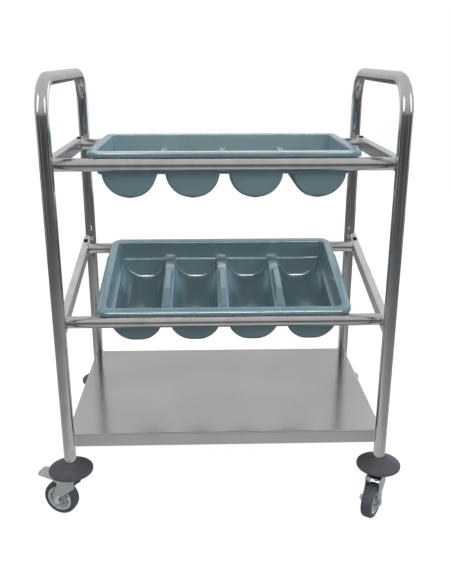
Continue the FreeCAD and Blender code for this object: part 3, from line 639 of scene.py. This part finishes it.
def new_tree(name, kinds):
    """A geometry tree with named inputs; returns it and the sockets that give them."""
    tree = bpy.data.node_groups.new(name, "GeometryNodeTree")
    for label, kind in kinds.items():
        tree.interface.new_socket(label, in_out="INPUT", socket_type="NodeSocket" + kind)
    tree.interface.new_socket("Made", in_out="OUTPUT", socket_type="NodeSocketGeometry")
    return tree, add(tree, "NodeGroupInput").outputs


def end_tree(tree, geometry, metal):
    """The end of a tree: real geometry with its finish."""
    real = add(tree, "GeometryNodeRealizeInstances", {"Geometry": geometry})
    dressed = add(tree, "GeometryNodeSetMaterial", {"Geometry": real, "Material": metal})
    add(tree, "NodeGroupOutput", {"Made": dressed})
    print("tree:", tree.name, "with", len(tree.nodes), "nodes")


print("geometry trees end in Realize Instances and Set Material")

# %% A tree that bends a tube
TUBE_SIDES = 56
BEND_STEPS = 26
kinds = {"Path": "Geometry", "Tube radius": "Float", "Bend radius": "Float", "Finish": "Material"}
tube_tree, given = new_tree("bent tube", kinds)
path = add(tube_tree, "GeometryNodeMeshToCurve", {"Mesh": given["Path"]})
bends = {"Curve": path, "Radius": given["Bend radius"], "Count": BEND_STEPS}
bent = add(tube_tree, "GeometryNodeFilletCurve", bends, mode="POLY")
section = {"Resolution": TUBE_SIDES, "Radius": given["Tube radius"]}
ring = add(tube_tree, "GeometryNodeCurvePrimitiveCircle", section, mode="RADIUS")
sweep = {"Curve": bent, "Profile Curve": ring, "Fill Caps": False}
skin = add(tube_tree, "GeometryNodeCurveToMesh", sweep)
end_tree(tube_tree, skin, given["Finish"])

# %% From a tree to a plain mesh, and a tube along a path
TUBE_WALL = 1.2
TUBE_CREASE = 50
HANDLE_BEND_R = 62.0


def grown(name, mesh, tree, values, wall=0.0):
    """What a tree makes of a mesh, as a plain mesh; wall thickens a skin inwards, in millimetres."""
    maker = new_object(name + "_maker", mesh)
    modifier = maker.modifiers.new(tree.name, "NODES")
    modifier.node_group = tree
    for socket in tree.interface.items_tree:
        if socket.name in values:
            modifier[socket.identifier] = values[socket.name]
    if wall:
        thick = maker.modifiers.new("wall", "SOLIDIFY")
        thick.thickness = wall * MM
        thick.offset = -1
    view = bpy.context.evaluated_depsgraph_get()
    made = bpy.data.meshes.new_from_object(maker.evaluated_get(view), depsgraph=view)
    made.name = name
    bpy.data.objects.remove(maker)
    return new_object(name, made)


def tube(name, points, radius, metal):
    """A tube wall along a path of points, in metres."""
    mesh = bpy.data.meshes.new(name + "_path")
    mesh.from_pydata(points, [(i, i + 1) for i in range(len(points) - 1)], [])
    values = {"Tube radius": radius, "Bend radius": HANDLE_BEND_R * MM, "Finish": metal}
    piece = grown(name, mesh, tube_tree, values, TUBE_WALL)
    smooth_faces(piece.data, TUBE_CREASE)
    return piece


print("tube wall", TUBE_WALL, "mm, bends of", HANDLE_BEND_R, "mm")

# %% End frames and rails
for side in ("left", "right"):
    low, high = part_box(side + "_end_frame")
    radius = (high.x - low.x) / 2
    x, front, back, top = low.x + radius, low.y + radius, high.y - radius, high.z - radius
    path = [(x, front, low.z), (x, front, top), (x, back, top), (x, back, low.z)]
    stand_for(tube(side + "_bent_tube", path, radius, tube_upright), side + "_end_frame")

for level in LEVELS:
    for end in ("front", "back"):
        name = level + "_" + end + "_rail"
        low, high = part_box(name)
        mid = middle(name)
        path = [(low.x, mid.y, mid.z), (high.x, mid.y, mid.z)]
        stand_for(tube(name + "_tube", path, (high.z - low.z) / 2, tube_rail), name)

# %% [markdown]
# Bars, forks and pedals already have the right shape, but their construction edges are knife-sharp, and no
# real edge is. A copy of the node is welded, its flat triangles are joined, and a small Bevel breaks its
# edges. They then show the thin bright lines that make metal look like metal.

# %% Broken edges for pressed and sawn pieces
FLAT_WITHIN = 0.6
BROKEN_CREASE = 30


def broken(name, material, width, segments=2):
    """A copy of a node with its edges broken by a width in millimetres, in the node's place."""
    mesh = nodes[name].data.copy()
    mesh.name = name + "_broken"
    work = welded(mesh)
    flat = radians(FLAT_WITHIN)
    bmesh.ops.dissolve_limit(work, angle_limit=flat, verts=work.verts, edges=work.edges)
    work.to_mesh(mesh)
    work.free()
    mesh.materials.clear()
    mesh.materials.append(material)
    smooth_faces(mesh, BROKEN_CREASE)
    piece = new_object(mesh.name, mesh)
    edge = piece.modifiers.new("broken edges", "BEVEL")
    edge.width = width * MM
    edge.segments = segments
    edge.limit_method = "ANGLE"
    edge.angle_limit = radians(BROKEN_CREASE)
    edge.use_clamp_overlap = True
    edge.harden_normals = True
    stand_for(piece, name)


BAR_EDGE = 0.5
LUG_EDGE = 0.4
for level in LEVELS:
    for side in ("left", "right"):
        broken(level + "_" + side + "_bar", bar_steel, BAR_EDGE)
for name in ("bar_lugs", "shelf_lugs"):
    broken(name, bar_steel, LUG_EDGE)

# %% [markdown]
# The shelf's construction mesh already has its round folds, and studs and sockets hardly show. Drawing them
# again would gain nothing, so these nodes stay and only get their finish.

# %% Nodes that keep their construction mesh
plain = {"bottom_shelf": shelf_steel, "shelf_studs": zinc_bright, "leg_sockets": socket_plastic}
for name, material in plain.items():
    nodes[name].data.materials.clear()
    nodes[name].data.materials.append(material)
print("kept nodes:", ", ".join(plain))

# %% [markdown]
# Bolts, nuts and screws repeat, so each kind is drawn once and Geometry Nodes sets it on points. A point
# carries the direction that its fastener faces, and a seeded random turn keeps hexagons from lining up. Every
# loose island of a node's mesh is one fastener, so the points come from the construction.

# %% Where the fasteners are
BETWEEN_LEVELS = (middle("upper_front_rail").z + middle("middle_back_rail").z) / 2 / MM


def islands(name):
    """The separate solids of a node, as arrays of points in millimetres."""
    work = welded(nodes[name].data)
    left = set(work.verts)
    found = []
    for first in work.verts:
        if first in left:
            group = [first]
            left.remove(first)
            for vert in group:
                near = left.intersection(edge.other_vert(vert) for edge in vert.link_edges)
                left -= near
                group += near
            found.append(np.array([v.co for v in group]) / MM)
    work.free()
    return found


def seats(name, facing):
    """For each solid, the middle of its low end, the direction that it faces, and its length."""
    spots = []
    for points in islands(name):
        way = np.array(facing(points.mean(axis=0)))
        along = points @ way
        flat = points - np.outer(along, way)
        centre = (flat.min(axis=0) + flat.max(axis=0)) / 2
        spots.append((Vector(centre + way * along.min()), Vector(way), along.max() - along.min()))
    return spots


def level_up(point):
    """The up direction of the tray level that a bolt belongs to."""
    level = "upper" if point[2] > BETWEEN_LEVELS else "middle"
    return joints[level + "_tray_lift"]["axis"]


def outward(point):
    return (0, copysign(1, point[1]), 0)


bolt_seats = seats("bar_bolts", level_up)
nut_seats = seats("bar_nuts", level_up)
shelf_nut_seats = seats("shelf_nuts", lambda point: (0, 0, 1))
screw_seats = seats("foot_screws", outward)
print(len(bolt_seats), "bolts,", len(nut_seats + shelf_nut_seats), "nuts,", len(screw_seats), "screws")

# %% A bolt, standing on its low end
SIDES = 24


def ring_of(radius, z, flats=0):
    """A circle, or with flats a hexagon of that half width, as a loop of SIDES points."""
    ring = []
    for i in range(SIDES):
        a = 2 * pi * i / SIDES
        reach = radius
        if flats:
            reach = flats / cos((a + pi / 6) % (pi / 3) - pi / 6)
            reach = min(reach, radius) if radius else reach
        ring.append((reach * cos(a), reach * sin(a), z))
    return ring


def solid_of(spots):
    """A shell of loops, closed at both ends; a spot is a radius, a height and perhaps flats."""
    shell = Shell()
    shell.stack([ring_of(*spot) for spot in spots], cap_first=True, cap_last=True)
    return shell


def bolt_shell(length):
    """A button-head bolt with a hexagon socket."""
    shank, head, height, socket, depth = 3.0, 5.25, 3.3, 2.0, 1.8
    tip, edge, upright, dome, lead, sink, rise = 0.5, 0.3, 0.3, 2.3, 0.35, 0.25, 0.05
    seat = length - height
    spots = [(shank - tip, 0), (shank, tip), (shank, seat), (head - edge, seat), (head, seat + edge),
             (head, seat + height * upright)]
    for a in arc(10, 74, 5):
        climb = upright + (1 - upright) * sin(a)
        spots.append((head - dome * (1 - cos(a)), seat + height * climb))
    spots += [(0, length - rise, socket + lead), (0, length - sink, socket), (0, length - depth, socket)]
    return solid_of(spots)


print("bolt:", len(bolt_shell(bolt_seats[0][2]).faces), "faces")

# %% A nut and a screw


def nut_shell(bore, flats, height):
    """A hexagon nut with chamfered corners and a chamfered bore."""
    bore_out, bore_in, face, corner, corner_low, corner_high = 0.5, 0.6, 0.15, 1.08, 0.7, 1.2
    low_half = [(bore, bore_in, 0), (bore + bore_out, 0, 0), (flats - face, 0, 0),
                (flats * corner, corner_low, flats), (2 * flats, corner_high, flats)]
    high_half = [(radius, height - z, side) for radius, z, side in reversed(low_half)]
    shell = Shell()
    shell.stack([ring_of(*spot) for spot in low_half + high_half + low_half[:1]])
    return shell


def screw_shell(length):
    """A small pan-head screw with a dimple where the driver goes."""
    shank, head, height, tip, point = 1.75, 3.25, 1.8, 0.4, 0.6
    side, flat_share, dimple, dimple_floor, lip, depth = 0.2, 0.35, 1.1, 0.6, 0.1, 0.9
    seat = length - height
    spots = [(shank - tip, 0), (shank, point), (shank, seat), (head, seat)]
    for a in arc(0, 70, 5):
        reach = head * (flat_share + (1 - flat_share) * cos(a))
        spots.append((reach, seat + side + (height - side) * sin(a)))
    return solid_of(spots + [(dimple, length - lip), (dimple_floor, length - depth)])


print("screw:", len(screw_shell(screw_seats[0][2]).faces), "faces")

# %% A tree that sets fasteners on points
SEED = 7
kinds = {"Points": "Geometry", "Fastener": "Object", "Largest turn": "Float", "Finish": "Material"}
seat_tree, given = new_tree("fasteners on points", kinds)
facing = add(seat_tree, "GeometryNodeInputNamedAttribute", {"Name": "facing"}, data_type="FLOAT_VECTOR")
upright = add(seat_tree, "FunctionNodeAlignRotationToVector", {"Vector": facing}, axis="Z")
largest = {3: given["Largest turn"], "Seed": SEED}
chance = add(seat_tree, "FunctionNodeRandomValue", largest, data_type="FLOAT")
spin = add(seat_tree, "FunctionNodeAxisAngleToRotation", {"Axis": (0, 0, 1), "Angle": chance.outputs[1]})
turns = {"Rotation": upright, "Rotate By": spin}
both = add(seat_tree, "FunctionNodeRotateRotation", turns, rotation_space="LOCAL")
source = add(seat_tree, "GeometryNodeObjectInfo", {"Object": given["Fastener"]})
spots = add(seat_tree, "GeometryNodeMeshToPoints", {"Mesh": given["Points"]})
placing = {"Points": spots, "Instance": source.outputs["Geometry"], "Rotation": both}
placed = add(seat_tree, "GeometryNodeInstanceOnPoints", placing)
end_tree(seat_tree, placed, given["Finish"])

# %% Fasteners on their seats
FASTENER_CREASE = 32
HEXAGON_TURN = 60
NUT_BORE = 3.0
NUT_FLATS = 5.0


def fasteners(name, spots, shell, metal, node):
    """One fastener shape on every spot, as one plain mesh that stands for a node."""
    one = make(name + "_pattern", shell, metal, crease=FASTENER_CREASE)
    mesh = bpy.data.meshes.new(name + "_points")
    mesh.from_pydata([spot * MM for spot, way, length in spots], [], [])
    facing = mesh.attributes.new("facing", "FLOAT_VECTOR", "POINT")
    for item, (spot, way, length) in zip(facing.data, spots):
        item.vector = way
    values = {"Fastener": one, "Largest turn": radians(HEXAGON_TURN), "Finish": metal}
    piece = grown(name, mesh, seat_tree, values)
    bpy.data.objects.remove(one)
    stand_for(piece, node)


bar_nut = nut_shell(NUT_BORE, NUT_FLATS, nut_seats[0][2])
shelf_nut = nut_shell(NUT_BORE, NUT_FLATS, shelf_nut_seats[0][2])
fasteners("button_bolts", bolt_seats, bolt_shell(bolt_seats[0][2]), oxide, "bar_bolts")
fasteners("bar_hex_nuts", nut_seats, bar_nut, zinc_bright, "bar_nuts")
fasteners("shelf_hex_nuts", shelf_nut_seats, shelf_nut, zinc_bright, "shelf_nuts")
fasteners("foot_pan_screws", screw_seats, screw_shell(screw_seats[0][2]), zinc_bright, "foot_screws")

# %% [markdown]
# Bumpers, necks and tyres are turned shapes: circles that follow a profile of radius and height, closer
# together where it bends. A castor's joints give its place: the swivel its axis, the wheel its heading.

# %% Turned shapes, and where a castor stands
TURNED_SIDES = 72
CASTORS = ("front_left", "front_right", "back_left", "back_right")


def circle(radius, z):
    angles = [2 * pi * i / TURNED_SIDES for i in range(TURNED_SIDES)]
    return [(radius * cos(a), radius * sin(a), z) for a in angles]


def turned(profile):
    """A closed ring turned from a closed profile of radius and height."""
    shell = Shell()
    rings = [circle(radius, z) for radius, z in profile]
    shell.stack(rings + rings[:1])
    return shell


def castor_place(name):
    """The castor's own axes: swivel axis upright at the origin, wheel trailing along X."""
    pivot = Vector(joints[name + "_castor_swivel"]["pos_m"])
    wheel = Vector(joints[name + "_wheel_spin"]["pos_m"])
    heading = atan2(wheel.y - pivot.y, wheel.x - pivot.x)
    return Matrix.Translation((pivot.x, pivot.y, 0)) @ Matrix.Rotation(heading, 4, "Z")


print(len(CASTORS), "castors, turned with", TURNED_SIDES, "sides")

# %% [markdown]
# The bumper is a soft disc that saves walls and door frames. From a nearly upright rim it climbs in a shallow
# cone to a rounded collar round the leg.

# %% Bumper discs
STEM_BORE = 6.1
BUMPER_EDGE = 1.7
BUMPER_FACE = 4.4
CONE_INSET, CONE_RISE, CONE_SWELL = 2.2, 5.6, 0.05
COLLAR_PAST_LEG, COLLAR_DROP = 4.5, 3.0
COLLAR_FLAT, COLLAR_OUT, COLLAR_ROUND = 1.6, 2.9, 2.6
LEG_ROOM = 0.2


def bumper_profile():
    low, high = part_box("front_left_bumper")
    base, top = low.z / MM, high.z / MM
    rim, leg = (high.x - low.x) / 2 / MM, RAIL_R
    profile = [(STEM_BORE, base), (rim - BUMPER_EDGE, base)]
    for start, end, height in ((-75, 0, BUMPER_EDGE), (0, 60, BUMPER_FACE)):
        for a in arc(start, end, 5):
            out = rim - BUMPER_EDGE + BUMPER_EDGE * cos(a)
            profile.append((out, base + height + BUMPER_EDGE * sin(a)))
    cone_r, cone_z = rim - CONE_INSET, base + CONE_RISE
    collar_r, collar_z = leg + COLLAR_PAST_LEG, top - COLLAR_DROP
    for t in (0.15, 0.35, 0.55, 0.75, 0.92):
        climb = t + CONE_SWELL * sin(pi * t)
        profile.append((cone_r + (collar_r - cone_r) * t, cone_z + (collar_z - cone_z) * climb))
    for a in arc(35, 90, 5):
        out = leg + COLLAR_FLAT + COLLAR_OUT * cos(a)
        profile.append((out, top - COLLAR_ROUND + COLLAR_ROUND * sin(a)))
    return profile + [(leg + LEG_ROOM, top), (STEM_BORE, top)]


for name in CASTORS:
    disc = make(name + "_bumper_disc", turned(bumper_profile()), bumper_rubber, castor_place(name))
    stand_for(disc, name + "_bumper")

# %% [markdown]
# Under the bumper a neck covers the ball race, with a groove between its two halves. Through it runs the stem,
# whose lock nut shows above the tyre. The nut and its washer are real parts, and their dark oxide fills the
# gap under the fork crown as painted shade. All four of each are one node, so their copies share one mesh.

# %% Necks and castor stems


def at_castors(one):
    shell = Shell()
    for name in CASTORS:
        shell.put(one, castor_place(name))
    return shell


def neck_profile():
    """Radius and height: the lower ring, the groove, and the cup that widens up to the bumper."""
    low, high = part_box("castor_necks")
    base, top = low.z / MM, high.z / MM
    return [(STEM_BORE, base), (14.2, base), (15.0, base + 0.8), (15.2, base + 3.0), (14.4, base + 3.6),
            (14.5, base + 4.4), (16.2, base + 6.5), (18.2, base + 9.6), (19.0, top - 0.8), (18.6, top),
            (STEM_BORE, top)]


def king_bolt_spots():
    """The stem from its lock nut below the fork, over the washer that carries the fork, up into the leg."""
    low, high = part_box("castor_stems")
    seat, top = low.z / MM, high.z / MM
    stem, end, washer, thick, edge = 6.0, 0.8, 12.0, 3.5, 0.3
    thread, point, tip, lead, lock, lock_round = 5.0, 0.6, 1.0, 0.4, 8.9, 1.0
    flats, nut, corner, corner_low, corner_high, collar = 9.5, 8.5, 1.06, 0.2, 1.1, 12.6
    foot, shoulder = seat - nut, seat - collar
    return [(thread - point, shoulder - tip), (thread, shoulder - lead), (thread, shoulder),
            (lock - lock_round, shoulder), (lock, shoulder + lock_round), (lock, foot),
            (flats * corner, foot + corner_low, flats), (2 * flats, foot + corner_high, flats),
            (2 * flats, seat, flats), (washer - edge, seat), (washer, seat + edge),
            (washer, seat + thick - edge), (washer - edge, seat + thick), (stem, seat + thick),
            (stem, top - end), (stem - end, top)]


stand_for(make("neck_covers", at_castors(turned(neck_profile())), neck_paint), "castor_necks")
# The dark lock nuts and washers fill the gap above each tyre: real parts whose dark also paints the crown's
# shade.
king_bolts = at_castors(solid_of(king_bolt_spots()))
stand_for(make("king_bolts", king_bolts, oxide, crease=FASTENER_CREASE), "castor_stems")

# %% [markdown]
# The tyre is moulded round the hub: a slightly crowned tread, round shoulders and a bead line on each side.
# Hub, fork, axle and pedal are the construction's own shapes with broken edges.

# %% Tyres, hubs and the pressed pieces of each castor
TYRE_HALF = 12.0
TYRE_INSIDE = 28.0
TYRE_SHOULDER = 6.0
TREAD_CROWN = 0.35


def tyre_profile():
    """Radius and place across the tyre, from the inside of one side over the tread to the other."""
    low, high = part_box("front_left_tyre")
    outer = (high.z - low.z) / 2 / MM
    bead = ((0.0, 1.2), (1.0, 0.3), (1.9, 0.1), (2.4, 0.6), (2.9, 0.1))
    side = [(TYRE_INSIDE + out, TYRE_HALF - sunk) for out, sunk in bead]
    for a in arc(0, 84, 8):
        reach = outer - TYRE_SHOULDER - TREAD_CROWN + TYRE_SHOULDER * sin(a)
        side.append((reach, TYRE_HALF - TYRE_SHOULDER + TYRE_SHOULDER * cos(a)))
    return side + [(outer, 0.0)] + [(r, -y) for r, y in reversed(side)]


def wheel_place(name):
    """The wheel's axes: axle along Z at the wheel's middle."""
    wheel = Vector(joints[name + "_wheel_spin"]["pos_m"])
    trail = wheel - Vector(joints[name + "_castor_swivel"]["pos_m"])
    offset = Vector((hypot(trail.x, trail.y), 0, wheel.z))
    return castor_place(name) @ Matrix.Translation(offset) @ Matrix.Rotation(radians(-90), 4, "X")


PRESSED = {"hub": (hub_plastic, 0.5, 2), "bush": (bush_plastic, 0.3, 2), "fork": (zinc_fork, 0.6, 3),
           "axle": (zinc_bright, 0.4, 2), "axle_nut": (zinc_bright, 0.4, 2),
           "brake_pedal": (pedal_zinc, 0.6, 3), "pedal_pin": (zinc_bright, 0.3, 2)}
for name in CASTORS:
    tyre = make(name + "_tyre_ring", turned(tyre_profile()), tyre_rubber, wheel_place(name))
    stand_for(tyre, name + "_tyre")
    for kind, (material, width, segments) in PRESSED.items():
        if name + "_" + kind in nodes:
            broken(name + "_" + kind, material, width, segments)

# %% [markdown]
# The photograph is a studio cut-out: a white surround, light from above and both sides, and a dim room in
# front. A white world and floor give the surround. They show white only to rays that a picture sees, and light
# the trolley with less, so that its colours stay as written.

# %% Studio world and floor
AMBIENT = 0.48
FLOOR_GLOW = 0.91
FLOOR_SIZE = 30
FLOOR_PLACE = (0, 1, -0.0004)
scene = bpy.context.scene
scene.view_settings.view_transform = "Standard"
world = bpy.data.worlds.new("studio")
scene.world = world
world.use_nodes = True
tree = world.node_tree
tree.nodes.clear()


def seen_directly(tree):
    """1 for rays that show the background: camera, mirror and glass rays."""
    path = add(tree, "ShaderNodeLightPath").outputs
    seen = path["Is Camera Ray"]
    for other in ("Is Glossy Ray", "Is Transmission Ray"):
        seen = add(tree, "ShaderNodeMath", {0: seen, 1: path[other]}, operation="MAXIMUM")
    return seen


def card(name, centre, width, height, turn, material):
    """A flat stage card, in metres, turned in degrees about X, Y and Z."""
    mesh = bpy.data.meshes.new(name)
    x, y = width / 2, height / 2
    mesh.from_pydata([(-x, -y, 0), (x, -y, 0), (x, y, 0), (-x, y, 0)], [], [(0, 1, 2, 3)])
    mesh.materials.append(material)
    plane = new_object(name, mesh)
    plane.location = centre
    plane.rotation_euler = [radians(t) for t in turn]
    plane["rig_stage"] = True
    return plane


shown = add(tree, "ShaderNodeBackground", {"Color": colour("#ffffff"), "Strength": 1.0})
lit = add(tree, "ShaderNodeBackground", {"Color": colour("#f6f8ff"), "Strength": AMBIENT})
blend = add(tree, "ShaderNodeMixShader", {0: seen_directly(tree), 1: lit, 2: shown})
add(tree, "ShaderNodeOutputWorld", {"Surface": blend})

floor_paint, tree, shader = finish("white studio floor", "#a4a4a4", Roughness=0.9)
glow = add(tree, "ShaderNodeEmission", {"Color": colour("#ffffff"), "Strength": FLOOR_GLOW})
soft = add(tree, "ShaderNodeBsdfDiffuse", {"Color": colour("#808080")})
sum_up = add(tree, "ShaderNodeAddShader", {0: glow, 1: soft})
pick = add(tree, "ShaderNodeMixShader", {0: seen_directly(tree), 1: shader, 2: sum_up})
tree.links.new(pick.outputs[0], tree.nodes["Material Output"].inputs["Surface"])
card("floor", FLOOR_PLACE, FLOOR_SIZE, FLOOR_SIZE, (0, 0, 0), floor_paint)
print("world", world.name, "and floor", floor_paint.name)

# %% [markdown]
# Polished steel has no look of its own: it shows the room. A dome that only reflections see stands in for the
# room, dim in front near the horizon and lighter behind and above. A card does the same for the floor, which
# is lit under the trolley and fades into the dark.

# %% The room and the lit floor, in reflections alone
ROOM_R = 6000
FRONT_WALL = {0.0: "#4c4c4c", 0.08: "#545454", 0.18: "#b0b0b0", 0.45: "#d2d2d2", 0.75: "#e4e4e4"}
BACK_WALL = {0.0: "#c6c6c6", 0.12: "#c4c4c4", 0.3: "#d8d8d8", 0.6: "#ececec"}
FRONT_ENDS, BACK_STARTS = -0.2, 0.4
LIT_FLOOR = 6.0
LIT_FLOOR_Z = 0.0003
FLOOR_FADE = {0.0: "#dcdcdc", 0.092: "#d4d4d4", 0.125: "#b4b4b4", 0.2: "#9c9c9c", 0.33: "#7c7c7c",
              0.53: "#646464"}


def only_mirrored(piece):
    """A stage piece that shades nothing and shows in reflections alone."""
    for rays in ("camera", "diffuse", "shadow", "transmission"):
        setattr(piece, "visible_" + rays, False)


def glowing(name, shade, strength=1.0):
    """A material that glows; shade gives its colour from the tree and the place on the stage piece."""
    paint = bpy.data.materials.new(name)
    paint.use_nodes = True
    tree = paint.node_tree
    place = add(tree, "ShaderNodeSeparateXYZ", {0: add(tree, "ShaderNodeTexCoord").outputs["Object"]}).outputs
    glow = add(tree, "ShaderNodeEmission", {"Color": shade(tree, place), "Strength": strength})
    tree.links.new(glow.outputs[0], tree.nodes["Material Output"].inputs["Surface"])
    return paint


def room_shade(tree, place):
    """Dim walls near the horizon, darkest in front, and a lit ceiling."""
    room_r = ROOM_R * MM
    height = add(tree, "ShaderNodeMapRange", {"Value": place["Z"], "From Max": room_r})
    front = add(tree, "ShaderNodeValToRGB", {"Fac": height}, FRONT_WALL)
    back = add(tree, "ShaderNodeValToRGB", {"Fac": height}, BACK_WALL)
    depth = {"Value": place["Y"], "From Min": FRONT_ENDS * room_r, "From Max": BACK_STARTS * room_r}
    side = add(tree, "ShaderNodeMapRange", depth)
    return add(tree, "ShaderNodeMix", {0: side, 6: front, 7: back}, data_type="RGBA").outputs[2]


def lit_floor_shade(tree, place):
    """Lit under the trolley, and fading all round to the dark of the room."""
    spot = add(tree, "ShaderNodeCombineXYZ", {"X": place["X"], "Y": place["Y"]})
    away = add(tree, "ShaderNodeVectorMath", {0: spot}, operation="LENGTH").outputs["Value"]
    share = add(tree, "ShaderNodeMapRange", {"Value": away, "From Max": LIT_FLOOR})
    return add(tree, "ShaderNodeValToRGB", {"Fac": share}, FLOOR_FADE)


room = Shell()
room.stack([circle(ROOM_R * cos(a), ROOM_R * sin(a)) for a in arc(-1, 88, 30)], cap_last=True)
room_walls = make("photo_room", room, glowing("dim photo room", room_shade))
room_walls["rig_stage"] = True
only_mirrored(room_walls)
lit_paint = glowing("lit floor", lit_floor_shade)
only_mirrored(card("lit_floor", (0, 0, LIT_FLOOR_Z), 2 * LIT_FLOOR, 2 * LIT_FLOOR, (0, 0, 0), lit_paint))
print("mirrored room of", ROOM_R * MM, "m")

# %% [markdown]
# Upright screens are the white edges on the tubes. The glossy trays would mirror them as stripes, so light
# linking keeps them off: one collection excludes the trays, and others hold one tray or both as the only
# receivers, for the lamps further on.

# %% Who receives which light, and the screens
moulded = bpy.data.collections.new("moulded trays")
not_moulded = bpy.data.collections.new("all but the moulded trays")
only_tray = {}
for level in LEVELS:
    only_tray[level] = bpy.data.collections.new(level + " tray alone")
    for group in (moulded, not_moulded, only_tray[level]):
        group.objects.link(bpy.data.objects[level + "_tray_moulding"])
for member in not_moulded.collection_objects:
    member.light_linking.link_state = "EXCLUDE"


def screen(name, centre, width, height, turn, code, strength=1.0):
    """An upright glowing card that only reflections see, turned in degrees from facing the front."""

    def cloth_shade(tree, place):
        return add(tree, "ShaderNodeValToRGB", {"Fac": place["Y"]}, {0.0: code, 1.0: "#ffffff"})

    cloth = card(name, centre, width, height, (90, 0, turn), glowing(name + " cloth", cloth_shade, strength))
    only_mirrored(cloth)
    cloth.light_linking.receiver_collection = not_moulded


for side, sign in (("left", -1), ("right", 1)):
    screen(side + "_window", (2.6 * sign, 0.1, 1.2), 0.5, 2.4, -90 * sign, "#d8d8d8")
    screen(side + "_front_screen", (1.9 * sign, -2.2, 1.2), 0.55, 2.4, -140 * sign, "#8c8c8c")
screen("right_back_screen", (1.5, 1.9, 0.9), 1.1, 1.5, -38, "#e4ecff", 2.4)
screen("left_back_screen", (-1.5, 1.9, 0.9), 0.7, 1.5, 38, "#e4ecff", 1.4)

# %% [markdown]
# Large area lamps do the work of softboxes: above, in front, behind and at the sides. They give soft shadows,
# and their levels keep a written colour near what it renders. Only the two at the sides show in the steel, as
# highlights on the handles, and these two leave the trays alone.

# %% Lamps
AIM = Vector((0, 0, 0.5))


def softbox(name, place, size, power, tone="#ffffff"):
    """An area lamp that lights evenly, without a white patch on polished metal."""
    lamp = bpy.data.lights.new(name, "AREA")
    lamp.shape = "RECTANGLE"
    lamp.size, lamp.size_y = size
    lamp.energy = power
    lamp.color = colour(tone)[:3]
    holder = new_object(name, lamp)
    holder.location = place
    holder.rotation_euler = (AIM - Vector(place)).to_track_quat("-Z", "Y").to_euler()
    holder.visible_glossy = False
    return holder


softbox("top_softbox", (0.0, -0.7, 2.6), (1.8, 1.2), 20)
softbox("front_softbox", (0.2, -2.6, 2.3), (1.6, 1.0), 43)
side_lamps = [softbox("left_softbox", (-1.9, -1.2, 1.7), (0.9, 1.4), 8),
              softbox("right_softbox", (1.9, -1.0, 1.6), (0.9, 1.4), 6)]
for side_lamp in side_lamps:
    side_lamp.visible_glossy = True
    side_lamp.light_linking.receiver_collection = not_moulded
softbox("back_softbox", (0.4, 2.6, 2.0), (1.6, 1.0), 18)
softbox("low_right_softbox", (1.7, -1.6, 1.05), (0.8, 0.8), 18, "#ecf1ff")
print(len(bpy.data.lights), "softboxes")

# %% [markdown]
# Moulded plastic shows its lamps as thin bright lines on rounded edges. On polished tube the same lamps would
# be broad stripes, so the trays get gloss lamps of their own, seen only in reflections. The tilted tray has
# its lamp lower, where its trough ends catch it and its floors don't. Two fills light the sides of the trays.

# %% Gloss lamps and fills for the trays
for name, place, size, power, group in (
        ("upper_gloss", (0.2, -2.6, 2.3), (2.4, 1.0), 280, only_tray["upper"]),
        ("middle_gloss", (0.2, -2.7, 1.2), (2.4, 0.6), 220, only_tray["middle"]),
        ("crest_gloss", (0.0, 1.4, 2.6), (2.6, 1.0), 90, only_tray["upper"]),
        ("top_gloss", (0.0, -0.6, 2.4), (2.0, 1.2), 40, moulded),
        ("back_gloss", (0.0, 2.2, 2.5), (3.4, 1.4), 13, moulded)):
    gloss = softbox(name, place, size, power)
    gloss.visible_glossy = True
    gloss.visible_diffuse = False
    gloss.light_linking.receiver_collection = group
right_fill = softbox("right_fill", (2.0, 0.3, 1.3), (0.7, 0.7), 52, "#dde8ff")
left_fill = softbox("left_fill", (-2.0, 0.3, 1.3), (0.7, 0.7), 28, "#eef4ff")
for fill in (right_fill, left_fill):
    fill.light_linking.receiver_collection = moulded

# %% [markdown]
# The camera was solved from the photograph: rails, tray corners, shelf edge and leg feet, with their real
# sizes, leave one place and lens that fit. It stands just above the handles and looks down a little.

# %% Camera
IMAGE_HEIGHT = 584
FOCAL_PIXELS = 697.8
SENSOR = 36.0
CAMERA_PLACE = (-0.0362, -1.4932, 0.9358)
LOOK_DOWN = 18.824
LOOK_RIGHT = 1.658
lens = bpy.data.cameras.new("photo_lens")
lens.sensor_width = SENSOR
lens.lens = FOCAL_PIXELS / IMAGE_HEIGHT * SENSOR
camera = new_object("photo_camera", lens)
camera.location = CAMERA_PLACE
camera.rotation_euler = (radians(90 - LOOK_DOWN), 0, radians(-LOOK_RIGHT))
scene.camera = camera
print("lens", round(lens.lens, 2), "mm")

# %% [markdown]
# The drawn pieces should not grow past the construction that they stand for. Here their bounds are found.

# %% Bounds of the drawn pieces
low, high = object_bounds()
